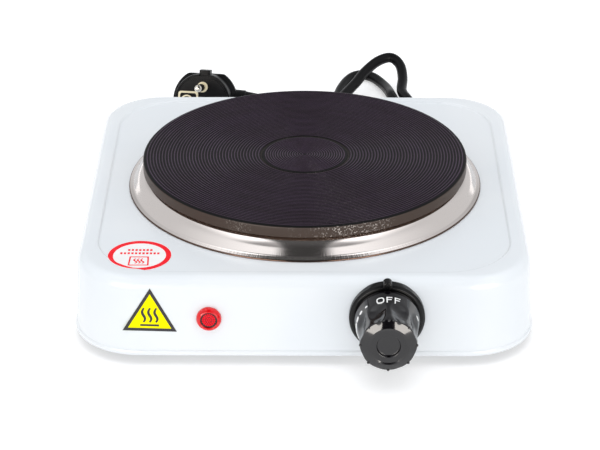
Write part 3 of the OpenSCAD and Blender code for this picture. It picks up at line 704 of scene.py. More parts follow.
# Fired magnesia and steatite: chalky, off-white.
CEMENT = Finish("fired_magnesia", "c2b59f", "b3a58d", 0.85, 0.08, grain_mm=0.9, bump_mm=0.08)
STEATITE = Finish("steatite", "e5ddca", "dbd2bd", 0.62, 0.08, grain_mm=0.7, bump_mm=0.02)
RUBBER = Finish("foot_rubber", "1b1b1c", "222223", 0.7, 0.1, grain_mm=0.6, bump_mm=0.03)
GREY_NYLON = Finish("grey_nylon", "4a4a4b", "424243", 0.5, 0.08, grain_mm=0.6, bump_mm=0.01)
LAMP_GLASS = Finish("lamp_glass", "f2d9b5", "efd2a8", 0.06, 0.02, grain_mm=2.0, bump_mm=0.001, transmission=0.8)
BROWN_WIRE = Finish("brown_insulation", "5a3018", "4f2a15", 0.38, 0.06, grain_mm=0.5, bump_mm=0.004)
BLUE_WIRE = Finish("blue_insulation", "2457a8", "1f4d97", 0.38, 0.06, grain_mm=0.5, bump_mm=0.004)
EARTH_WIRE = StripedWire("green_yellow_insulation", "2f8f36", "e6cf1a", 0.38, grain_mm=0.5, bump_mm=0.004)
# Frosted glass of a light table: pale, glowing evenly.
LIGHT_TABLE = Finish("light_table", "d8d8d8", "d6d6d6", 0.8, grain_mm=3.0, glow=0.66)
SLEEVE = Finish("glass_fibre_sleeve", "ddd9cb", "d2cdbd", 0.75, 0.1, grain_mm=0.5, bump_mm=0.06)


# ---------------------------------------------------------------- the parts


def on_front(x: float, z: float, y: float = -123.51, lean: float = 0.0) -> Matrix:
    """A place on the front wall: X is right, Y is up and Z comes out of the wall, lean degrees up."""
    return Matrix.Translation((x, y, z)) @ Matrix.Rotation(math.radians(90 - lean), 4, "X")


def soft_min(a: float, b: float, blend: float) -> float:
    """The smaller of two values, with their crossing rounded over blend."""
    near = max(blend - abs(a - b), 0.0) / blend
    return min(a, b) - near * near * blend / 4


class Mark(Enum):
    """Shapes that can be repeated round an axis."""

    BEAD = "GeometryNodeMeshIcoSphere"
    PYRAMID = "GeometryNodeMeshCone"


@dataclass(frozen=True)
class MarkRing:
    """Small shapes repeated round the Z axis, each one larger than the last by a growth."""

    mark: Mark
    count: int
    radius: float
    height: float
    size: Point
    start_deg: float = 0.0
    step_deg: float = 45.0
    growth: float = 0.0
    tilt_deg: float = 0.0

    def build(self, name: str, finish: Finish) -> bpy.types.Object:
        """Makes the ring of shapes.

        Args:
            name: The piece's name.
            finish: Its finish.

        Returns:
            One mesh object, round the Z axis.
        """
        inputs = {
            "Count": self.count, "Radius": self.radius * MM, "Height": self.height * MM,
            "Start": math.radians(self.start_deg), "Step": math.radians(self.step_deg),
            "Growth": self.growth, "Tilt": math.radians(self.tilt_deg),
            "Depth": self.size[0] * MM, "Width": self.size[1] * MM, "Length": self.size[2] * MM,
        }
        shape = NodeShape(name, inputs)
        graph = shape.graph
        index = graph.add("GeometryNodeInputIndex").outputs[0]
        angle = graph.use(Use.MULTIPLY_ADD, index, shape.get("Step"), shape.get("Start"))
        x = graph.use(Use.MULTIPLY, graph.use(Use.COSINE, angle), shape.get("Radius"))
        y = graph.use(Use.MULTIPLY, graph.use(Use.SINE, angle), shape.get("Radius"))
        place = graph.use(Use.VECTOR, x, y, shape.get("Height"))
        points = graph.add("GeometryNodePoints", {"Count": shape.get("Count"), "Position": place}).outputs[0]
        unit = {
            Mark.BEAD: {"Radius": 0.5, "Subdivisions": 3},
            Mark.PYRAMID: {"Vertices": 4, "Radius Bottom": 0.5, "Depth": 1.0},
        }[self.mark]
        seed = graph.add(self.mark.value, unit).outputs["Mesh"]
        larger = graph.use(Use.MULTIPLY_ADD, index, shape.get("Growth"), 1.0)
        width = graph.use(Use.MULTIPLY, shape.get("Width"), larger)
        length = graph.use(Use.MULTIPLY, shape.get("Length"), larger)
        size = graph.use(Use.VECTOR, shape.get("Depth"), width, length)
        turn = graph.use(Use.VECTOR, 0.0, shape.get("Tilt"), angle)
        inputs = {"Points": points, "Instance": seed, "Rotation": turn, "Scale": size}
        copies = graph.add("GeometryNodeInstanceOnPoints", inputs)
        return shape.run(copies.outputs[0], finish, name)


@dataclass(frozen=True)
class Housing:
    """Pressed sheet housing with leaning walls, a rolled hem and a sunk top panel."""

    half: float = 122.9
    flare: float = 1.5
    wall_top: float = 44.3
    shoulder_r: float = 6.5
    corner_at: float = 87.9
    panel_at: float = 75.0
    panel_z: float = 49.7
    opening_r: float = 89.0
    sheet: float = 1.0
    edge: tuple[Flat, ...] = (
        (111.0, 49.7), (111.6, 49.73), (112.0, 49.85), (112.3, 50.1), (112.7, 50.5), (113.1, 50.75),
        (113.5, 50.8),
    )

    def wall_at(self, z: float) -> float:
        """Distance of the outside of a wall from the middle at height z."""
        return self.half + self.flare * (self.wall_top - z) / 35.3

    def ring(self, half: float, centre: float, z: float, steps: int = 14, along: int = 10) -> list[Vector]:
        """A rounded square.

        Args:
            half: Half its width.
            centre: How far from the middle the arcs of its corners are centred, each way.
            z: Its height.
            steps: Segments in each corner.
            along: Segments in each straight side.

        Returns:
            The points, once round.
        """
        points: list[Vector] = []
        for k in range(4):
            turn = Matrix.Rotation(math.pi / 2 * k, 3, "Z")
            points += [turn @ Vector((half, -centre + 2 * centre * i / along, z)) for i in range(along)]
            arc_points = arc(centre, centre, half - centre, 0, 90, steps)[:-1]
            points += [turn @ Vector((x, y, z)) for x, y in arc_points]
        return points

    def top_at(self, x: float, y: float) -> float:
        """Height of the panel, its edge or the rim round it.

        Args:
            x: Place to the right of the middle.
            y: Place behind the middle.

        Returns:
            The height of the top there.
        """
        over = (max(abs(x) - self.panel_at, 0.0), max(abs(y) - self.panel_at, 0.0))
        out = self.panel_at + math.hypot(*over)
        return float(np.interp(out, *zip(*self.edge)))

    def build(self) -> None:
        """Makes the outside, the rim round the panel, the opening and the inside."""
        c, p = self.corner_at, self.panel_at
        levels = [(124.3, c, 6.0), (124.9, c, 6.08), (125.15, c, 6.4), (125.2, c, 7.0), (125.15, c, 8.1)]
        levels += [(124.9, c, 8.7), (124.45, c, 9.1), (self.wall_at(10.0), c, 10.0)]
        levels += [(self.wall_at(z), c, z) for z in (20.0, 32.0, 44.3)]
        curve = arc(self.half - self.shoulder_r, self.wall_top, self.shoulder_r, 0, 90, 12)[1:]
        levels += [(x, c, z) for x, z in curve]
        levels += [(x, p, z) for x, z in self.edge[::-1]]
        rings = [self.ring(*level) for level in levels]
        rim = [Vector((q.x, q.y, 0)).normalized() * self.opening_r for q in rings[-1]]
        rings += [[q + Vector((0, 0, z)) for q in rim] for z in (self.panel_z, self.panel_z - self.sheet)]
        inner = [(111.0, p, 48.7), (112.6, p, 48.9), (113.6, p, 49.6), (114.4, p, 49.8)]
        inner += [(x, c, z) for x, z in arc(116.4, 44.3, 5.5, 90, 0, 8)]
        inner += [(self.wall_at(z) - 1, c, z) for z in (30.0, 9.3)] + [(124.1, c, 8.4), (124.1, c, 6.2)]
        rings += [self.ring(*level) for level in inner]
        shell = mesh_object("enamelled_housing", loft(rings, closed=True), 40.0)
        dress(shell, ENAMEL, replaces=("body_shell",))


@dataclass(frozen=True)
class CookingPlate:
    """Cast iron plate, turned on top, with a plain rim that overhangs the trim ring."""

    radius: float = 92.5
    top: float = 67.0
    ridge: float = 0.32
    ridge_r: float = 0.52
    groove_r: float = 25.0

    def rings(self, name: str, first: float, pitch: float, count: int) -> None:
        """Makes turned ridges, as rings sunk in the face.

        Args:
            name: The piece's name.
            first: Radius of the innermost ridge.
            pitch: Distance from ridge to ridge.
            count: Number of ridges.
        """
        inputs = {
            "Count": count, "First Radius": first * MM, "Pitch": pitch * MM,
            "Ridge Radius": self.ridge_r * MM, "Height": (self.top - self.ridge_r) * MM,
        }
        shape = NodeShape(name, inputs)
        graph = shape.graph
        place = graph.use(Use.VECTOR, 0.0, 0.0, shape.get("Height"))
        points = graph.add("GeometryNodePoints", {"Count": shape.get("Count"), "Position": place}).outputs[0]
        index = graph.add("GeometryNodeInputIndex").outputs[0]
        radius = graph.use(Use.MULTIPLY_ADD, index, shape.get("Pitch"), shape.get("First Radius"))
        circle = graph.add("GeometryNodeCurvePrimitiveCircle", {"Resolution": 144, "Radius": 1.0}).outputs[0]
        inputs = {"Points": points, "Instance": circle, "Scale": radius}
        copies = graph.add("GeometryNodeInstanceOnPoints", inputs)
        real = graph.add("GeometryNodeRealizeInstances", {"Geometry": copies.outputs[0]}).outputs[0]
        section = graph.add(
            "GeometryNodeCurvePrimitiveCircle", {"Resolution": 8, "Radius": shape.get("Ridge Radius")}
        ).outputs[0]
        ridges = graph.add("GeometryNodeCurveToMesh", {"Curve": real, "Profile Curve": section})
        dress(shape.run(ridges.outputs[0], IRON, name), IRON)

    def build(self) -> None:
        """Makes the plate with its heating channels and its turned rings."""
        face = self.top - self.ridge
        g = self.groove_r
        profile = [(0, face), (g - 0.7, face), (g - 0.4, face - 0.35), (g + 0.4, face - 0.35), (g + 0.7, face)]
        profile += fillet([(89, face), (self.radius, face, 1.3), (self.radius, 60.4, 0.5), (90, 60.4)], 6)
        profile += [(90, 59.4), (86.5, 59.4), (86.5, 48.5)]
        for r in (74, 56, 38):
            profile += [(r + 6, 48.5), (r + 6, 58.5), (r - 6, 58.5), (r - 6, 48.5)]
        profile.append((0, 48.5))
        disc = mesh_object("cooking_plate", revolve(profile, 224))
        dress(disc, IRON, replaces=("hot_plate",))
        self.rings("turned_rings_inner", 1.6, 1.4, 16)
        self.rings("turned_rings_outer", g + 1.5, 1.72, 38)


@dataclass(frozen=True)
class TrimRing:
    """Polished ring that slopes from under the plate down to the housing."""

    outer_r: float = 101.0

    def build(self) -> None:
        """Turns the ring's section, with its rolled foot."""
        outside = fillet([
            (99.8, 49.72), (100.6, 49.72, 0.2), (self.outer_r, 50.15, 0.4), (100.7, 50.7, 0.3),
            (98.3, 51.7, 2.4), (96.2, 54.76),
        ], 10)
        outside += rounded(Vector((96.1, 54.9)), Vector((94.0, 58.0)), Vector((90.8, 59.3)), 16)
        outside.append((87, 59.3))
        inside = fillet([(87, 58.7), (91, 58.7, 1), (93.4, 57.2, 1.4), (97.6, 51.4, 1.6), (99.8, 50.3)], 4)
        ring = mesh_object("trim_ring_polished", revolve(outside + inside, 256, closed=True), 50.0)
        dress(ring, STAINLESS, replaces=("trim_ring",))


@dataclass(frozen=True)
class Knob:
    """Fluted control knob with a printed skirt, in its bezel."""

    x: float = 44.2
    z: float = 29.9
    skirt_r: float = 17.6
    flute_at: float = 30.9
    flute_r: float = 17.1
    flute_from: float = 12.5
    segments: int = 192

    def fluted(self, angle: float, r: float, out: float) -> float:
        """Radius of the grip.

        Args:
            angle: The turn about the knob's axis, in radians.
            r: Radius of the plain turned shape there.
            out: Distance from the wall.

        Returns:
            The radius with the flutes scooped out.
        """
        off = math.radians(math.degrees(angle) % 45 - 22.5)
        reach = math.sqrt(self.flute_r**2 - (self.flute_at * math.sin(off)) ** 2)
        flute = self.flute_at * math.cos(off) - reach
        start = min(max((out - self.flute_from) / 7.0, 0.0), 1.0)
        end = min(max((out - 23.0) / 8.0, 0.0), 1.0)
        return soft_min(r, flute + 4.0 * (1 - start) ** 2 + 0.8 * end * end, 0.5)

    def body(self) -> Shape:
        """The knob's skirt, fluted grip and dished end, closed at the back."""
        profile = [(0, 2.6)] + fillet([
            (14, 2.6), (16.2, 2.6, 0.3), (16.2, 4.6, 0.2), (self.skirt_r, 4.6, 0.3), (17.5, 7, 1.5),
            (16.5, 12, 2),
        ], 5)[:-1]
        waist = (12, 13.5, 15, 16.5, 18, 19.5, 21, 23, 26)
        profile += [(16.5 - 0.16 * (z - 12) + 0.004 * (z - 12) ** 2, z) for z in waist]
        profile += fillet([
            (15.25, 28), (15.0, 31.0, 0.4), (14.6, 31.8, 0.3), (10.8, 33.4, 0.4), (9.6, 33.0, 0.3),
            (6.4, 33.0, 0.4), (5.9, 31.6, 0.3), (3, 31.4),
        ], 5) + [(0, 31.4)]
        turns = [math.tau * k / self.segments for k in range(self.segments)]
        rings = []
        for r, out in profile:
            if r < 1e-6:
                rings.append([Vector((0, 0, out))])
                continue
            radii = [self.fluted(a, r, out) if r > 11 else r for a in turns]
            rings.append([Vector((q * math.cos(a), q * math.sin(a), out)) for q, a in zip(radii, turns)])
        return loft(rings)

    def wrap(self, shape: Shape, turn_deg: float, out: float) -> Shape:
        """Bends a flat shape round the skirt.

        Args:
            shape: The shape, with its X along the skirt and its Y towards the wall.
            turn_deg: Where its middle comes round the skirt.
            out: Distance of its middle from the wall.

        Returns:
            The bent shape.
        """
        points = []
        for p in shape[0]:
            height = out - p.y
            r = 17.5 - 0.2 * (height - 7.0) + 0.004 * (height - 7.0) ** 2 + p.z
            a = math.radians(turn_deg) - p.x / self.skirt_r
            points.append(Vector((r * math.cos(a), r * math.sin(a), height)))
        return points, shape[1]

    def lettering(self) -> Shape:
        """The word OFF in plain wide capitals."""
        tall, wide, line, low, high = 4.6, 4.5, 0.66, -0.35, 0.05
        oval = [(wide / 2 * math.copysign(abs(math.cos(a)) ** 0.7, math.cos(a)),
                 tall / 2 * math.copysign(abs(math.sin(a)) ** 0.7, math.sin(a)))
                for a in (math.tau * k / 28 for k in range(28))]
        inner = [(x * (1 - 2 * line / wide), y * (1 - 2 * line / tall)) for x, y in oval]
        rings = [[Vector((x, y, z)) for x, y in loop] for loop, z in
                 ((oval, low), (oval, high), (inner, high), (inner, low))]
        letter_o = moved(loft(rings, closed=True), Matrix.Translation((-4.4, 0, 0)))
        strokes = ((line, -tall / 2, tall / 2), (3.3, tall / 2 - line, tall / 2), (2.9, -0.1, line - 0.1))
        bars = []
        for x in (-0.9, 3.7):
            bars += [block(x, x + right, bottom, top, low, high) for right, bottom, top in strokes]
        return joined([letter_o, *bars])

    def build(self) -> None:
        """Makes the knob and its bezel."""
        place = on_front(self.x, self.z)
        grip = mesh_object("control_knob", moved(self.body(), place), 48.0)
        dress(grip, PHENOLIC, Body.KNOB, ("knob",))
        pips = MarkRing(Mark.BEAD, 8, 14.75, 31.5, (1.5, 1.5, 1.9), 0.0).build("knob_pips", PHENOLIC)
        word = mesh_object("knob_lettering", moved(self.wrap(self.lettering(), 90, 12.4), place))
        dress(word, WHITE_INK, Body.KNOB)
        dashes = MarkRing(Mark.BEAD, 6, 16.35, 12.0, (0.7, 2.0, 1.6), 134, 15.5, 0.42, -11.0)
        scale = dashes.build("knob_heat_marks", WHITE_INK)
        stop = MarkRing(Mark.BEAD, 1, 16.35, 12.0, (0.7, 3.6, 1.7), 18, -19.0, 0.0, -11.0)
        stop = stop.build("knob_stop_marks", WHITE_INK)
        for piece, finish in ((pips, PHENOLIC), (scale, WHITE_INK), (stop, WHITE_INK)):
            piece.data.transform(in_metres(place))
            dress(piece, finish, Body.KNOB)
        self.bezel(place)

    def bezel(self, place: Matrix) -> None:
        """Makes the round bezel with the pointer nub at its top.

        Args:
            place: The knob's place on the wall.
        """
        profile = fillet([
            (7, -1.4), (20.2, -1.4), (20.2, 2.8, 0.6), (18.9, 4.0, 0.5), (17.3, 4.0, 0.3), (16.85, 3.5, 0.2),
            (16.85, 2.05), (7, 2.05),
        ], 5)
        nub = fillet([(2.5, 0), (2.5, 4.4, 0.5), (0.4, 4.4)], 5)
        nub = revolve([(0, -1), (2.5, -1), *nub, (0, 4.4)], 32)
        ring = joined([revolve(profile, 160, closed=True), moved(nub, Matrix.Translation((0, 19.6, 0)))])
        bezel = mesh_object("knob_bezel_ring", moved(ring, place), 40.0)
        dress(bezel, BEZEL, replaces=("knob_bezel",))


@dataclass(frozen=True)
class PilotLamp:
    """Round red lens with a prismatic middle."""

    x: float = -50.5
    z: float = 28.1
    radius: float = 6.7

    def build(self, housing: Housing) -> None:
        """Makes the lens, its dark well of painted shade, and the rings of prisms in it; the lens and prisms
        carry a painted glow.

        Args:
            housing: The housing that it is set in.
        """
        place = on_front(self.x, self.z, -housing.wall_at(self.z), 2.43)
        r = self.radius
        lens = revolve(fillet([
            (4.5, 0.1), (r, 0.1), (r, 1.2, 0.3), (r - 0.5, 2.4, 1.2), (5.2, 3.4, 0.5), (4.6, 3.3, 0.2),
            (4.5, 1.8),
        ], 6), 96, closed=True)
        lens = mesh_object("pilot_lamp_lens", moved(lens, place), 50.0)
        dress(lens, RED_LENS, replaces=("lamp_lens",))
        # A near-black disc of painted shade stands in for the shaded inside of the lamp.
        well = revolve([(0, 0.3), (4.55, 0.3), (4.55, 2.3), (0, 2.3)], 64)
        dress(mesh_object("pilot_lamp_painted_shade_well", moved(well, place)), RED_WELL_PAINTED_SHADE)
        for count, radius in ((1, 0.0), (6, 1.15), (12, 2.25), (18, 3.2)):
            ring = MarkRing(Mark.PYRAMID, count, radius, 2.3, (1.35, 1.35, 0.9), 0.0, 360 / count)
            prisms = ring.build(f"pilot_lamp_prisms_{count}", RED_PRISM)
            prisms.data.transform(in_metres(place))
            dress(prisms, RED_PRISM)


@dataclass(frozen=True)
class Stickers:
    """A triangular heat mark on the front and a round label on the panel."""

    triangle_at: Flat = (-82.2, 20.5)
    round_at: Flat = (-88.8, -93.4)
    round_r: float = 17.4

    @staticmethod
    def wave(at: float, low: float, tall: float, width: float, steps: int = 20) -> list[Flat]:
        """One rising wavy line.

        Args:
            at: Its place from left to right.
            low: Where it starts.
            tall: Its height.
            width: Its breadth.
            steps: Segments along it.

        Returns:
            Its outline.
        """
        path = []
        for t in (k / steps for k in range(steps + 1)):
            path.append((at + 0.9 * math.sin(t * math.tau * 1.05) * (1 - 0.3 * t), low + tall * t))
        return ribbon(path, [width * (0.75 + 0.5 * math.sin(math.pi * k / steps)) for k in range(steps + 1)])

    def heat_mark(self, housing: Housing) -> None:
        """Makes a yellow triangle with a black edge, three wavy lines and a bar.

        Args:
            housing: The housing that it is stuck on.
        """
        x, z = self.triangle_at
        place = on_front(x, z, -housing.wall_at(z), 2.43) @ Matrix.Rotation(math.radians(-1.5), 4, "Z")
        film = prism([(-14.4, 0.05), (14.4, 0.05), (0, 25.1)], 0.03, 0.16)
        film = mesh_object("heat_mark_film", moved(film, place))
        dress(film, YELLOW_FILM, replaces=("warning_sticker",))
        outer = [(-14.5, 0), (14.5, 0), (0, 25.2)]
        inner = [(-11.6, 1.7), (11.6, 1.7), (0, 21.8)]
        loops = ((outer, 0.1), (outer, 0.2), (inner, 0.2), (inner, 0.1))
        edge = loft([[Vector((*p, h)) for p in loop] for loop, h in loops], closed=True)
        waves = [prism(self.wave(at, 5.2, 8.4, 1.15), 0.1, 0.2) for at in (-3.3, 0.0, 3.3)]
        bar = block(-5.0, 5.0, 2.9, 4.0, 0.1, 0.2)
        ink = moved(joined([edge, bar, *waves]), place)
        dress(mesh_object("heat_mark_print", ink), BLACK_INK)

    def label(self, housing: Housing) -> None:
        """Makes a white disc with a red ring and a small red framed mark.

        Args:
            housing: The housing that it is stuck on, over the edge of its panel.
        """
        cx, cy = self.round_at

        def drape(shape: Shape) -> Shape:
            """Lays a flat shape on the panel."""
            points = [Vector((p.x + cx, p.y + cy, p.z)) for p in shape[0]]
            return [Vector((p.x, p.y, p.z + housing.top_at(p.x, p.y))) for p in points], shape[1]

        radii = [self.round_r - 0.25 * k for k in range(56)]
        film = revolve([(r, 0.03) for r in radii[::-1]] + [(r, 0.12) for r in radii] + [(0, 0.12)], 320)
        film = mesh_object("round_label_film", drape(film))
        dress(film, WHITE_FILM, replaces=("round_sticker",))
        radii = [14.3 + 0.2 * k for k in range(15)]
        band = revolve([(r, 0.08) for r in radii] + [(r, 0.22) for r in radii[::-1]], 320, closed=True)
        square = [(-5.6, -11.4), (5.6, -11.4), (5.2, -1.2), (-5.2, -1.2)]
        hole = [(-4.8, -10.6), (4.8, -10.6), (4.4, -2.0), (-4.4, -2.0)]
        loops = ((square, 0.05), (square, 0.2), (hole, 0.2), (hole, 0.05))
        mark = loft([[Vector((*p, h)) for p in loop] for loop, h in loops], closed=True)
        waves = [prism(self.wave(at, -9.0, 5.4, 0.7), 0.05, 0.2) for at in (-1.9, 0.0, 1.9)]
        rows = []
        for count, low in ((7, 5.4), (11, 1.6)):
            for x in (2.0 * (k - (count - 1) / 2) for k in range(count)):
                rows.append(block(x - 0.6, x + 0.6, low, low + 2.0, 0.05, 0.2))
        red = joined([band, mark, *waves, *rows])
        dress(mesh_object("round_label_print", drape(red)), RED_INK)


@dataclass(frozen=True)
class Lead:
    """The mains lead with its bend relief and plug, lying in loose loops behind the housing."""

    diameter: float = 6.8
    outlet: Point = (86.0, 124.1, 16.0)
    plug_at: Point = (-67.5, 172.3, 23.7)
    pin_gap: float = 9.5
    route: tuple[Point, ...] = field(default=(
        (86, 156.3, 16), (86, 172, 13.8), (85.2, 188, 8.2), (78.5, 203.5, 4.1), (60, 212.5, 3.6),
        (40.5, 206, 3.6), (31, 190, 3.5), (30, 164, 3.5), (36.5, 147, 3.5), (50.5, 140.8, 3.5),
        (64.5, 147, 3.6), (70.5, 164, 3.9), (64, 187, 6.4), (57.5, 209, 10.7), (55.5, 230, 6.6),
        (52.5, 246, 4), (46, 260, 3.5), (38.5, 265, 3.5), (31, 260, 3.5), (25.5, 247, 3.5),
        (21.5, 228, 3.5), (20, 196, 3.5), (21.5, 160, 3.5), (31, 140, 3.5), (50, 133.2, 3.5),
        (69.5, 140.5, 3.6), (78.5, 162, 3.8), (75, 184, 6.4), (68, 203, 11), (64, 219, 11.2),
        (65, 236, 13.6), (63.5, 249, 17.6), (57.5, 255, 20.4), (48.5, 250.5, 19.6), (39.5, 239, 16.6),
        (32, 224, 13.6), (19, 200, 11.4), (4, 189, 12.8), (-9, 185, 15.2), (-23.8, 185.3, 17.2),
    ))

    def smooth(self, steps: int = 8) -> list[Vector]:
        """Draws a smooth line through the points of the route.

        Args:
            steps: Segments between two points.

        Returns:
            The line's points.
        """
        points = [Vector(p) for p in self.route]
        points = [2 * points[0] - points[1], *points, 2 * points[-1] - points[-2]]
        out: list[Vector] = []
        for a, b, c, d in zip(points, points[1:], points[2:], points[3:]):
            for t in (k / steps for k in range(steps)):
                bend = (2 * a - 5 * b + 4 * c - d) * t * t + (3 * b - a - 3 * c + d) * t**3
                out.append((2 * b + (c - a) * t + bend) / 2)
        return [*out, points[-2]]

    def cord(self) -> tuple[bpy.types.Object, float]:
        """Makes the cord as a curve.

        Returns:
            The curve and its length in metres.
        """
        points = self.smooth()
        data = bpy.data.curves.new("mains_lead", "CURVE")
        data.dimensions = "3D"
        data.bevel_depth = self.diameter / 2 * MM
        data.bevel_resolution = 6
        data.use_fill_caps = True
        line = data.splines.new("POLY")
        line.points.add(len(points) - 1)
        for slot, point in zip(line.points, points):
            slot.co = (*(point * MM), 1.0)
        line.use_smooth = True
        obj = bpy.data.objects.new("mains_lead", data)
        bpy.context.scene.collection.objects.link(obj)
        dress(obj, PVC, replaces=("power_cord",))
        return obj, sum((b - a).length for a, b in zip(points, points[1:])) * MM

    def relief(self) -> bpy.types.Object:
        """Makes the bend relief: a flange on the wall and a tapered sleeve with five grooves.

        Returns:
            The piece.
        """
        profile: list[tuple[float, ...]] = [(0, -3.6), (6, -3.6), (6, 0.4)]
        profile += [(8.2, 0.4, 0.3), (8.2, 2.6, 0.8), (7, 3.4, 0.3)]
        for k in range(5):
            at = 7.5 + 4.6 * k
            r = 7 - 2.4 * (at - 3.4) / 28.0
            profile += [(r, at, 0.3), (4.6, at, 0.3), (4.6, at + 1.8, 0.3), (r - 0.1, at + 1.8, 0.3)]
        profile += [(4.7, 31.4, 0.3), (4.2, 32, 0.3), (0, 32)]
        place = Matrix.Translation(self.outlet) @ Matrix.Rotation(-math.pi / 2, 4, "X")
        sleeve = mesh_object("bend_relief", moved(revolve(fillet(profile, 3), 64), place), 40.0)
        return dress(sleeve, PVC, replaces=("strain_relief",))

    def plug(self) -> list[bpy.types.Object]:
        """Makes the moulded plug: body with flats, grip tab and lead boss, cream face and two pins.

        Returns:
            Its pieces.
        """
        place = Matrix.Translation(self.plug_at) @ Matrix.Rotation(math.radians(-6.5), 4, "Z")
        place = place @ Matrix.Rotation(math.radians(-20), 4, "X")
        lathe = place @ Matrix.Rotation(-math.pi / 2, 4, "X")
        profile = fillet([
            (16.9, 1.3), (16.9, 0.0, 0.2), (18.2, 0.0, 0.5), (18.5, 2, 0.5), (18.5, 12.4, 0.6),
            (21.2, 13.4, 0.8), (21.2, 16.9, 0.9), (18.5, 18.8, 1.2), (12.2, 33, 2.5), (9.6, 35.3, 1.2), (3, 35.6),
        ], 6)
        turns = [math.tau * k / 160 for k in range(160)]
        rings = [[Vector((0, 0, 1.3))]]
        for r, t in profile:
            radii = [soft_min(r, 17.7 / max(abs(math.sin(a)), 0.01), 0.8) for a in turns]
            rings.append([Vector((q * math.cos(a), q * math.sin(a), t)) for q, a in zip(radii, turns)])
        rings.append([Vector((0, 0, 35.6))])
        body = mesh_object("plug_moulding", moved(loft(rings), lathe), 38.0)
        slots = [block(-3, 3, -1, 3.5, z - 1.2, z + 1.2) for z in (-17.7, 17.7)]
        slots += [block(x - 1.5, x + 1.5, -1, 12, -3.2, 3.2) for x in (-18.5, 18.5)]
        body = cut(body, moved(joined(slots), place))
        dress(body, PVC, replaces=("plug_body",))
        boss = revolve(fillet([
            (0, 8), (8.3, 8), (7.5, 25.8, 0.4), (6.9, 26.2, 0.3), (4.6, 41.6, 0.4), (4.2, 42.0), (0, 42.0),
        ], 4), 64)
        boss = moved(boss, Matrix.Translation((0, 19, 0)) @ Matrix.Rotation(math.pi / 2, 4, "Y"))
        tab = fillet([(0, 4), (4, 4, 0.8), (4, 13.4, 0.8), (-3, 13.4, 0.8), (-3, 4, 0.8), (0, 4)], 4)
        tab = prism(tab[:-1], 16.8, 20.3)
        trim = mesh_object("plug_boss_and_tab", moved(joined([boss, tab]), place), 38.0)
        dress(trim, PVC)
        return [body, trim, *self.plug_face(place), self.pins(place)]

    def plug_face(self, place: Matrix) -> list[bpy.types.Object]:
        """Makes the black face plate, and the cream collars of the pins and frame of the earth socket.

        Args:
            place: The plug's place.

        Returns:
            The black piece and the cream one.
        """
        edge = []
        for a in (math.tau * k / 96 for k in range(96)):
            r = soft_min(16.7, 13.9 / max(abs(math.sin(a)), 0.01), 0.8)
            edge.append((r * math.cos(a), r * math.sin(a)))
        upright = Matrix.Rotation(math.pi / 2, 4, "X") @ Matrix.Scale(-1, 4, (0, 0, 1))
        plate = moved(prism(edge, 0.5, 1.6), upright)
        corners = [(-2.6, -6.5, 2), (-2.6, 6.5, 2), (-15.6, 6.5, 2), (-15.6, -6.5, 2)]
        outer = fillet([(-9, -6.5), *corners, (-9, -6.5)], 6)[:-1]
        inner = [(-9.1 + (x + 9.1) * 0.82, z * 0.82) for x, z in outer]
        loops = ((outer, 0.9), (outer, -0.45), (outer, -0.6), (inner, -0.6), (inner, 0.9))
        rim = loft([[Vector((x, z, t)) for x, z in loop] for loop, t in loops], closed=True)
        socket = revolve([(3.15, 0.9), (3.15, -0.4), (4.1, -0.4), (4.1, 0.9)], 48, closed=True)
        socket = moved(socket, Matrix.Translation((-10, 0, 0)))
        base = dress(mesh_object("plug_face_plate", moved(plate, place), 38.0), PVC)
        parts = [moved(rim, upright), moved(socket, upright)]
        collar = revolve(fillet([(0, 0.9), (3.4, 0.9), (3.4, -0.6, 0.3), (1.5, -0.6)], 4) + [(0, -0.6)], 48)
        for z in (-self.pin_gap, self.pin_gap):
            parts.append(moved(collar, Matrix.Translation((0, 0, z)) @ Matrix.Rotation(-math.pi / 2, 4, "X")))
        face = mesh_object("plug_face_trim", moved(joined(parts), place), 38.0)
        return [base, dress(face, CREAM_NYLON, replaces=("plug_insert",))]

    def pins(self, place: Matrix) -> bpy.types.Object:
        """Makes two round pins with rounded ends.

        Args:
            place: The plug's place.

        Returns:
            Both pins as one piece.
        """
        pin = revolve([(0, -19)] + fillet([(0.6, -19), (2.4, -18.7, 1.4), (2.4, 2)], 6) + [(0, 2)], 48)
        pair = [moved(pin, place @ Matrix.Translation((0, 0, z)) @ Matrix.Rotation(-math.pi / 2, 4, "X"))
                for z in (-self.pin_gap, self.pin_gap)]
        pair = mesh_object("plug_pin_pair", joined(pair), 40.0)
        return dress(pair, NICKEL, replaces=("plug_pins",))

    def build(self, nodes: dict[str, bpy.types.Object]) -> None:
        """Args:
            nodes: The frame's own objects by name.
        """
        cord, length = self.cord()
        ends = [self.relief(), *self.plug(), nodes["plug_earth_clips"], nodes["plug_earth_socket"]]
        LOG.info("lead: %.3f m", length)


# ---------------------------------------------------------------- the other CAD nodes, and the stage

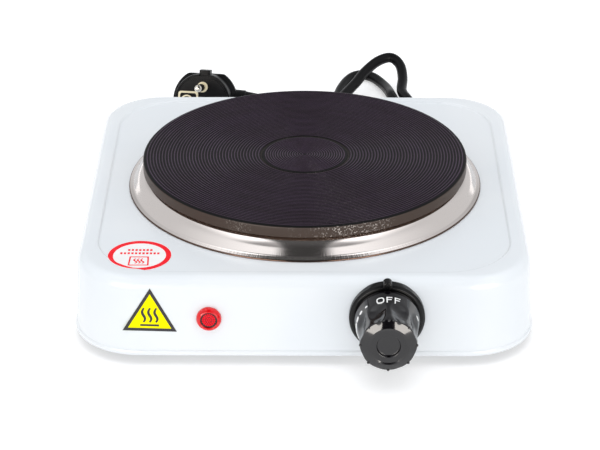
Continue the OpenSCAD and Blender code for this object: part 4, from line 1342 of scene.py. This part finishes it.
NODE_FINISHES = {
    ENAMEL: ("body_shell",), IRON: ("hot_plate",), STAINLESS: ("trim_ring",),
    ZINC: ("base_plate", "clamp_bar", "stud_washer", "plate_back_cover", "thermostat_bracket", "lamp_clip"),
    SCREW: (
        "base_screws", "foot_screws", "foot_nuts", "stud_nut", "plate_stud", "thermostat_screws",
        "stack_rivet", "clamp_screws", "earth_screw", "spindle", "knob_clip",
    ),
    RUBBER: ("rubber_feet",), OXIDISED: ("heating_coil",), CEMENT: ("plate_cement",),
    STEATITE: ("terminal_block", "thermostat_ceramics", "push_pin"), ALUMINISED: ("heat_shield",),
    BRASS: ("plate_terminals", "thermostat_bush", "leaf_terminal", "fixed_contact", "crimp_tags"),
    BRONZE: ("contact_leaf",), BIMETAL: ("bimetal_strip",), PHENOLIC: ("knob", "knob_bezel"),
    RED_LENS: ("lamp_lens",), GREY_NYLON: ("lamp_housing",), LAMP_GLASS: ("lamp_bulb",),
    PVC: ("strain_relief", "cord_inner_end", "power_cord", "plug_body"),
    CREAM_NYLON: ("cord_clamp", "plug_insert"),
    BROWN_WIRE: ("live_wire",), BLUE_WIRE: ("neutral_wire",), EARTH_WIRE: ("earth_wire",),
    SLEEVE: ("link_wire", "lamp_lead_left", "lamp_lead_right"),
    NICKEL: ("plug_pins", "plug_earth_clips", "plug_earth_socket"), YELLOW_FILM: ("warning_sticker",),
    WHITE_FILM: ("round_sticker",),
}


def paint_nodes(nodes: dict[str, bpy.types.Object]) -> None:
    """Gives every CAD node its finish.

    Args:
        nodes: The frame's own objects by name.
    """
    for finish, names in NODE_FINISHES.items():
        for name in names:
            nodes[name].data.materials.clear()
            nodes[name].data.materials.append(finish.material())


@dataclass(frozen=True)
class Studio:
    """Camera, pale floor, two panels and a white room.

    The room's walls have wall_level, its front is brighter by front_gain and its ceiling by
    ceiling_gain. Only reflections see its dark parts: a gap overhead and a dim patch behind.
    """

    eye: Point = (0.00467, -1.18332, 0.61946)
    pitch_deg: float = 63.187
    yaw_deg: float = 0.361
    lens_mm: float = 136.79
    left_at: Point = (-0.60, -1.15, 0.22)
    right_at: Point = (0.69, -1.15, 0.22)
    panel_aim: Point = (0.04, -0.15, 0.03)
    panel_size: Flat = (0.78, 0.62)
    panel_watts: float = 15.0
    wall_level: float = 0.7
    front_gain: float = 0.5
    ceiling_gain: float = 1.35
    gap_dark: float = 0.97
    overhead_share: float = 0.75
    behind_share: float = 0.5

    def camera(self) -> None:
        """Makes the camera."""
        data = bpy.data.cameras.new("viewpoint")
        data.lens, data.sensor_width = self.lens_mm, 36.0
        camera = bpy.data.objects.new("viewpoint", data)
        camera.location = self.eye
        camera.rotation_euler = (math.radians(self.pitch_deg), 0, math.radians(self.yaw_deg))
        bpy.context.scene.collection.objects.link(camera)
        bpy.context.scene.camera = camera

    def softbox(self, name: str, at: Point) -> None:
        """Makes a warm rectangular light that shows only in reflections.

        Args:
            name: The light's name.
            at: Where it stands, in metres.
        """
        data = bpy.data.lights.new(name, "AREA")
        data.shape = "RECTANGLE"
        data.size, data.size_y = self.panel_size
        data.energy = self.panel_watts
        data.color = (1.0, 0.94, 0.88)
        light = bpy.data.objects.new(name, data)
        light.location = at
        light.rotation_euler = (Vector(self.panel_aim) - Vector(at)).to_track_quat("-Z", "Y").to_euler()
        light.visible_diffuse = False
        bpy.context.scene.collection.objects.link(light)

    def room(self) -> None:
        """Makes the world: a white room, brighter in front, with a dark gap high over the camera."""
        world = bpy.data.worlds.new("white_room")
        world.use_nodes = True
        graph = Graph(world.node_tree)
        direction = graph.add("ShaderNodeTexCoord").outputs["Generated"]
        x, y, z = graph.add("ShaderNodeSeparateXYZ", {0: direction}).outputs
        turn = graph.use(Use.ABSOLUTE, graph.use(Use.ARCTAN2, x, graph.use(Use.MULTIPLY, y, -1.0)))
        height = graph.use(Use.ARCSINE, z)
        front = graph.use(Use.RAMP, turn, 1.8, 0.5)
        ceiling = graph.use(Use.RAMP, height, 0.8, 1.4)
        level = graph.use(Use.MULTIPLY_ADD, front, self.front_gain, self.wall_level)
        level = graph.use(Use.MULTIPLY_ADD, ceiling, self.ceiling_gain, level)
        behind = graph.use(Use.RAMP, turn, 2.3, 2.9)
        behind = graph.use(Use.MULTIPLY, behind, graph.use(Use.RAMP, height, 0.2, 0.45))
        middle = graph.use(Use.RAMP, graph.use(Use.ABSOLUTE, x), 0.3, 0.17)
        strip = graph.use(Use.MULTIPLY, middle, graph.use(Use.RAMP, z, 0.0, 0.06))
        strip = graph.use(Use.MULTIPLY, strip, graph.use(Use.RAMP, y, 0.5, 0.3))
        inputs = {"Value": height, "From Min": 1.25, "From Max": 1.55, "To Min": 1.2, "To Max": 0.5}
        width = graph.add("ShaderNodeMapRange", inputs).outputs[0]
        across = graph.use(Use.RAMP, graph.use(Use.DIVIDE, turn, width), 1.0, 0.55)
        overhead = graph.use(Use.MULTIPLY, across, graph.use(Use.RAMP, height, 0.74, 0.86))
        dark = graph.use(Use.MAXIMUM, graph.use(Use.MULTIPLY, overhead, self.overhead_share), strip)
        dark = graph.use(Use.MAXIMUM, graph.use(Use.MULTIPLY, behind, self.behind_share), dark)
        dark = graph.use(Use.MULTIPLY, dark, graph.add("ShaderNodeLightPath").outputs["Is Glossy Ray"])
        level = graph.use(Use.MULTIPLY, level, graph.use(Use.MULTIPLY_ADD, dark, -self.gap_dark, 1.0))
        back = graph.add("ShaderNodeBackground", {"Color": (0.96, 0.975, 1.0, 1.0), "Strength": level})
        graph.add("ShaderNodeOutputWorld", {"Surface": back.outputs[0]})
        bpy.context.scene.world = world

    def build(self) -> None:
        """Makes the glowing table, the room and the lights."""
        floor = mesh_object("floor", block(-4000, 4000, -3000, 5000, -20, 0))
        floor.data.materials.append(LIGHT_TABLE.material())
        self.room()
        bpy.context.scene.view_settings.view_transform = "Standard"
        self.softbox("left_panel", self.left_at)
        self.softbox("right_panel", self.right_at)


def plain(bounds: object) -> list:
    """Bounds as plain lists of rounded metres."""
    return [[round(float(v), 6) for v in corner] for corner in bounds]


def main() -> None:
    """Builds the camera, the lead, the housing and its fittings, and the stage."""
    logging.basicConfig(level=logging.INFO, format="%(name)s %(message)s")
    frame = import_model()
    nodes = frame["nodes"]
    studio = Studio()
    studio.camera()
    paint_nodes(nodes)
    Lead().build(nodes)
    housing = Housing()
    housing.build()
    CookingPlate().build()
    TrimRing().build()
    Knob().build()
    PilotLamp().build(housing)
    stickers = Stickers()
    stickers.heat_mark(housing)
    stickers.label(housing)
    studio.build()


if __name__ == "__main__":
    main()
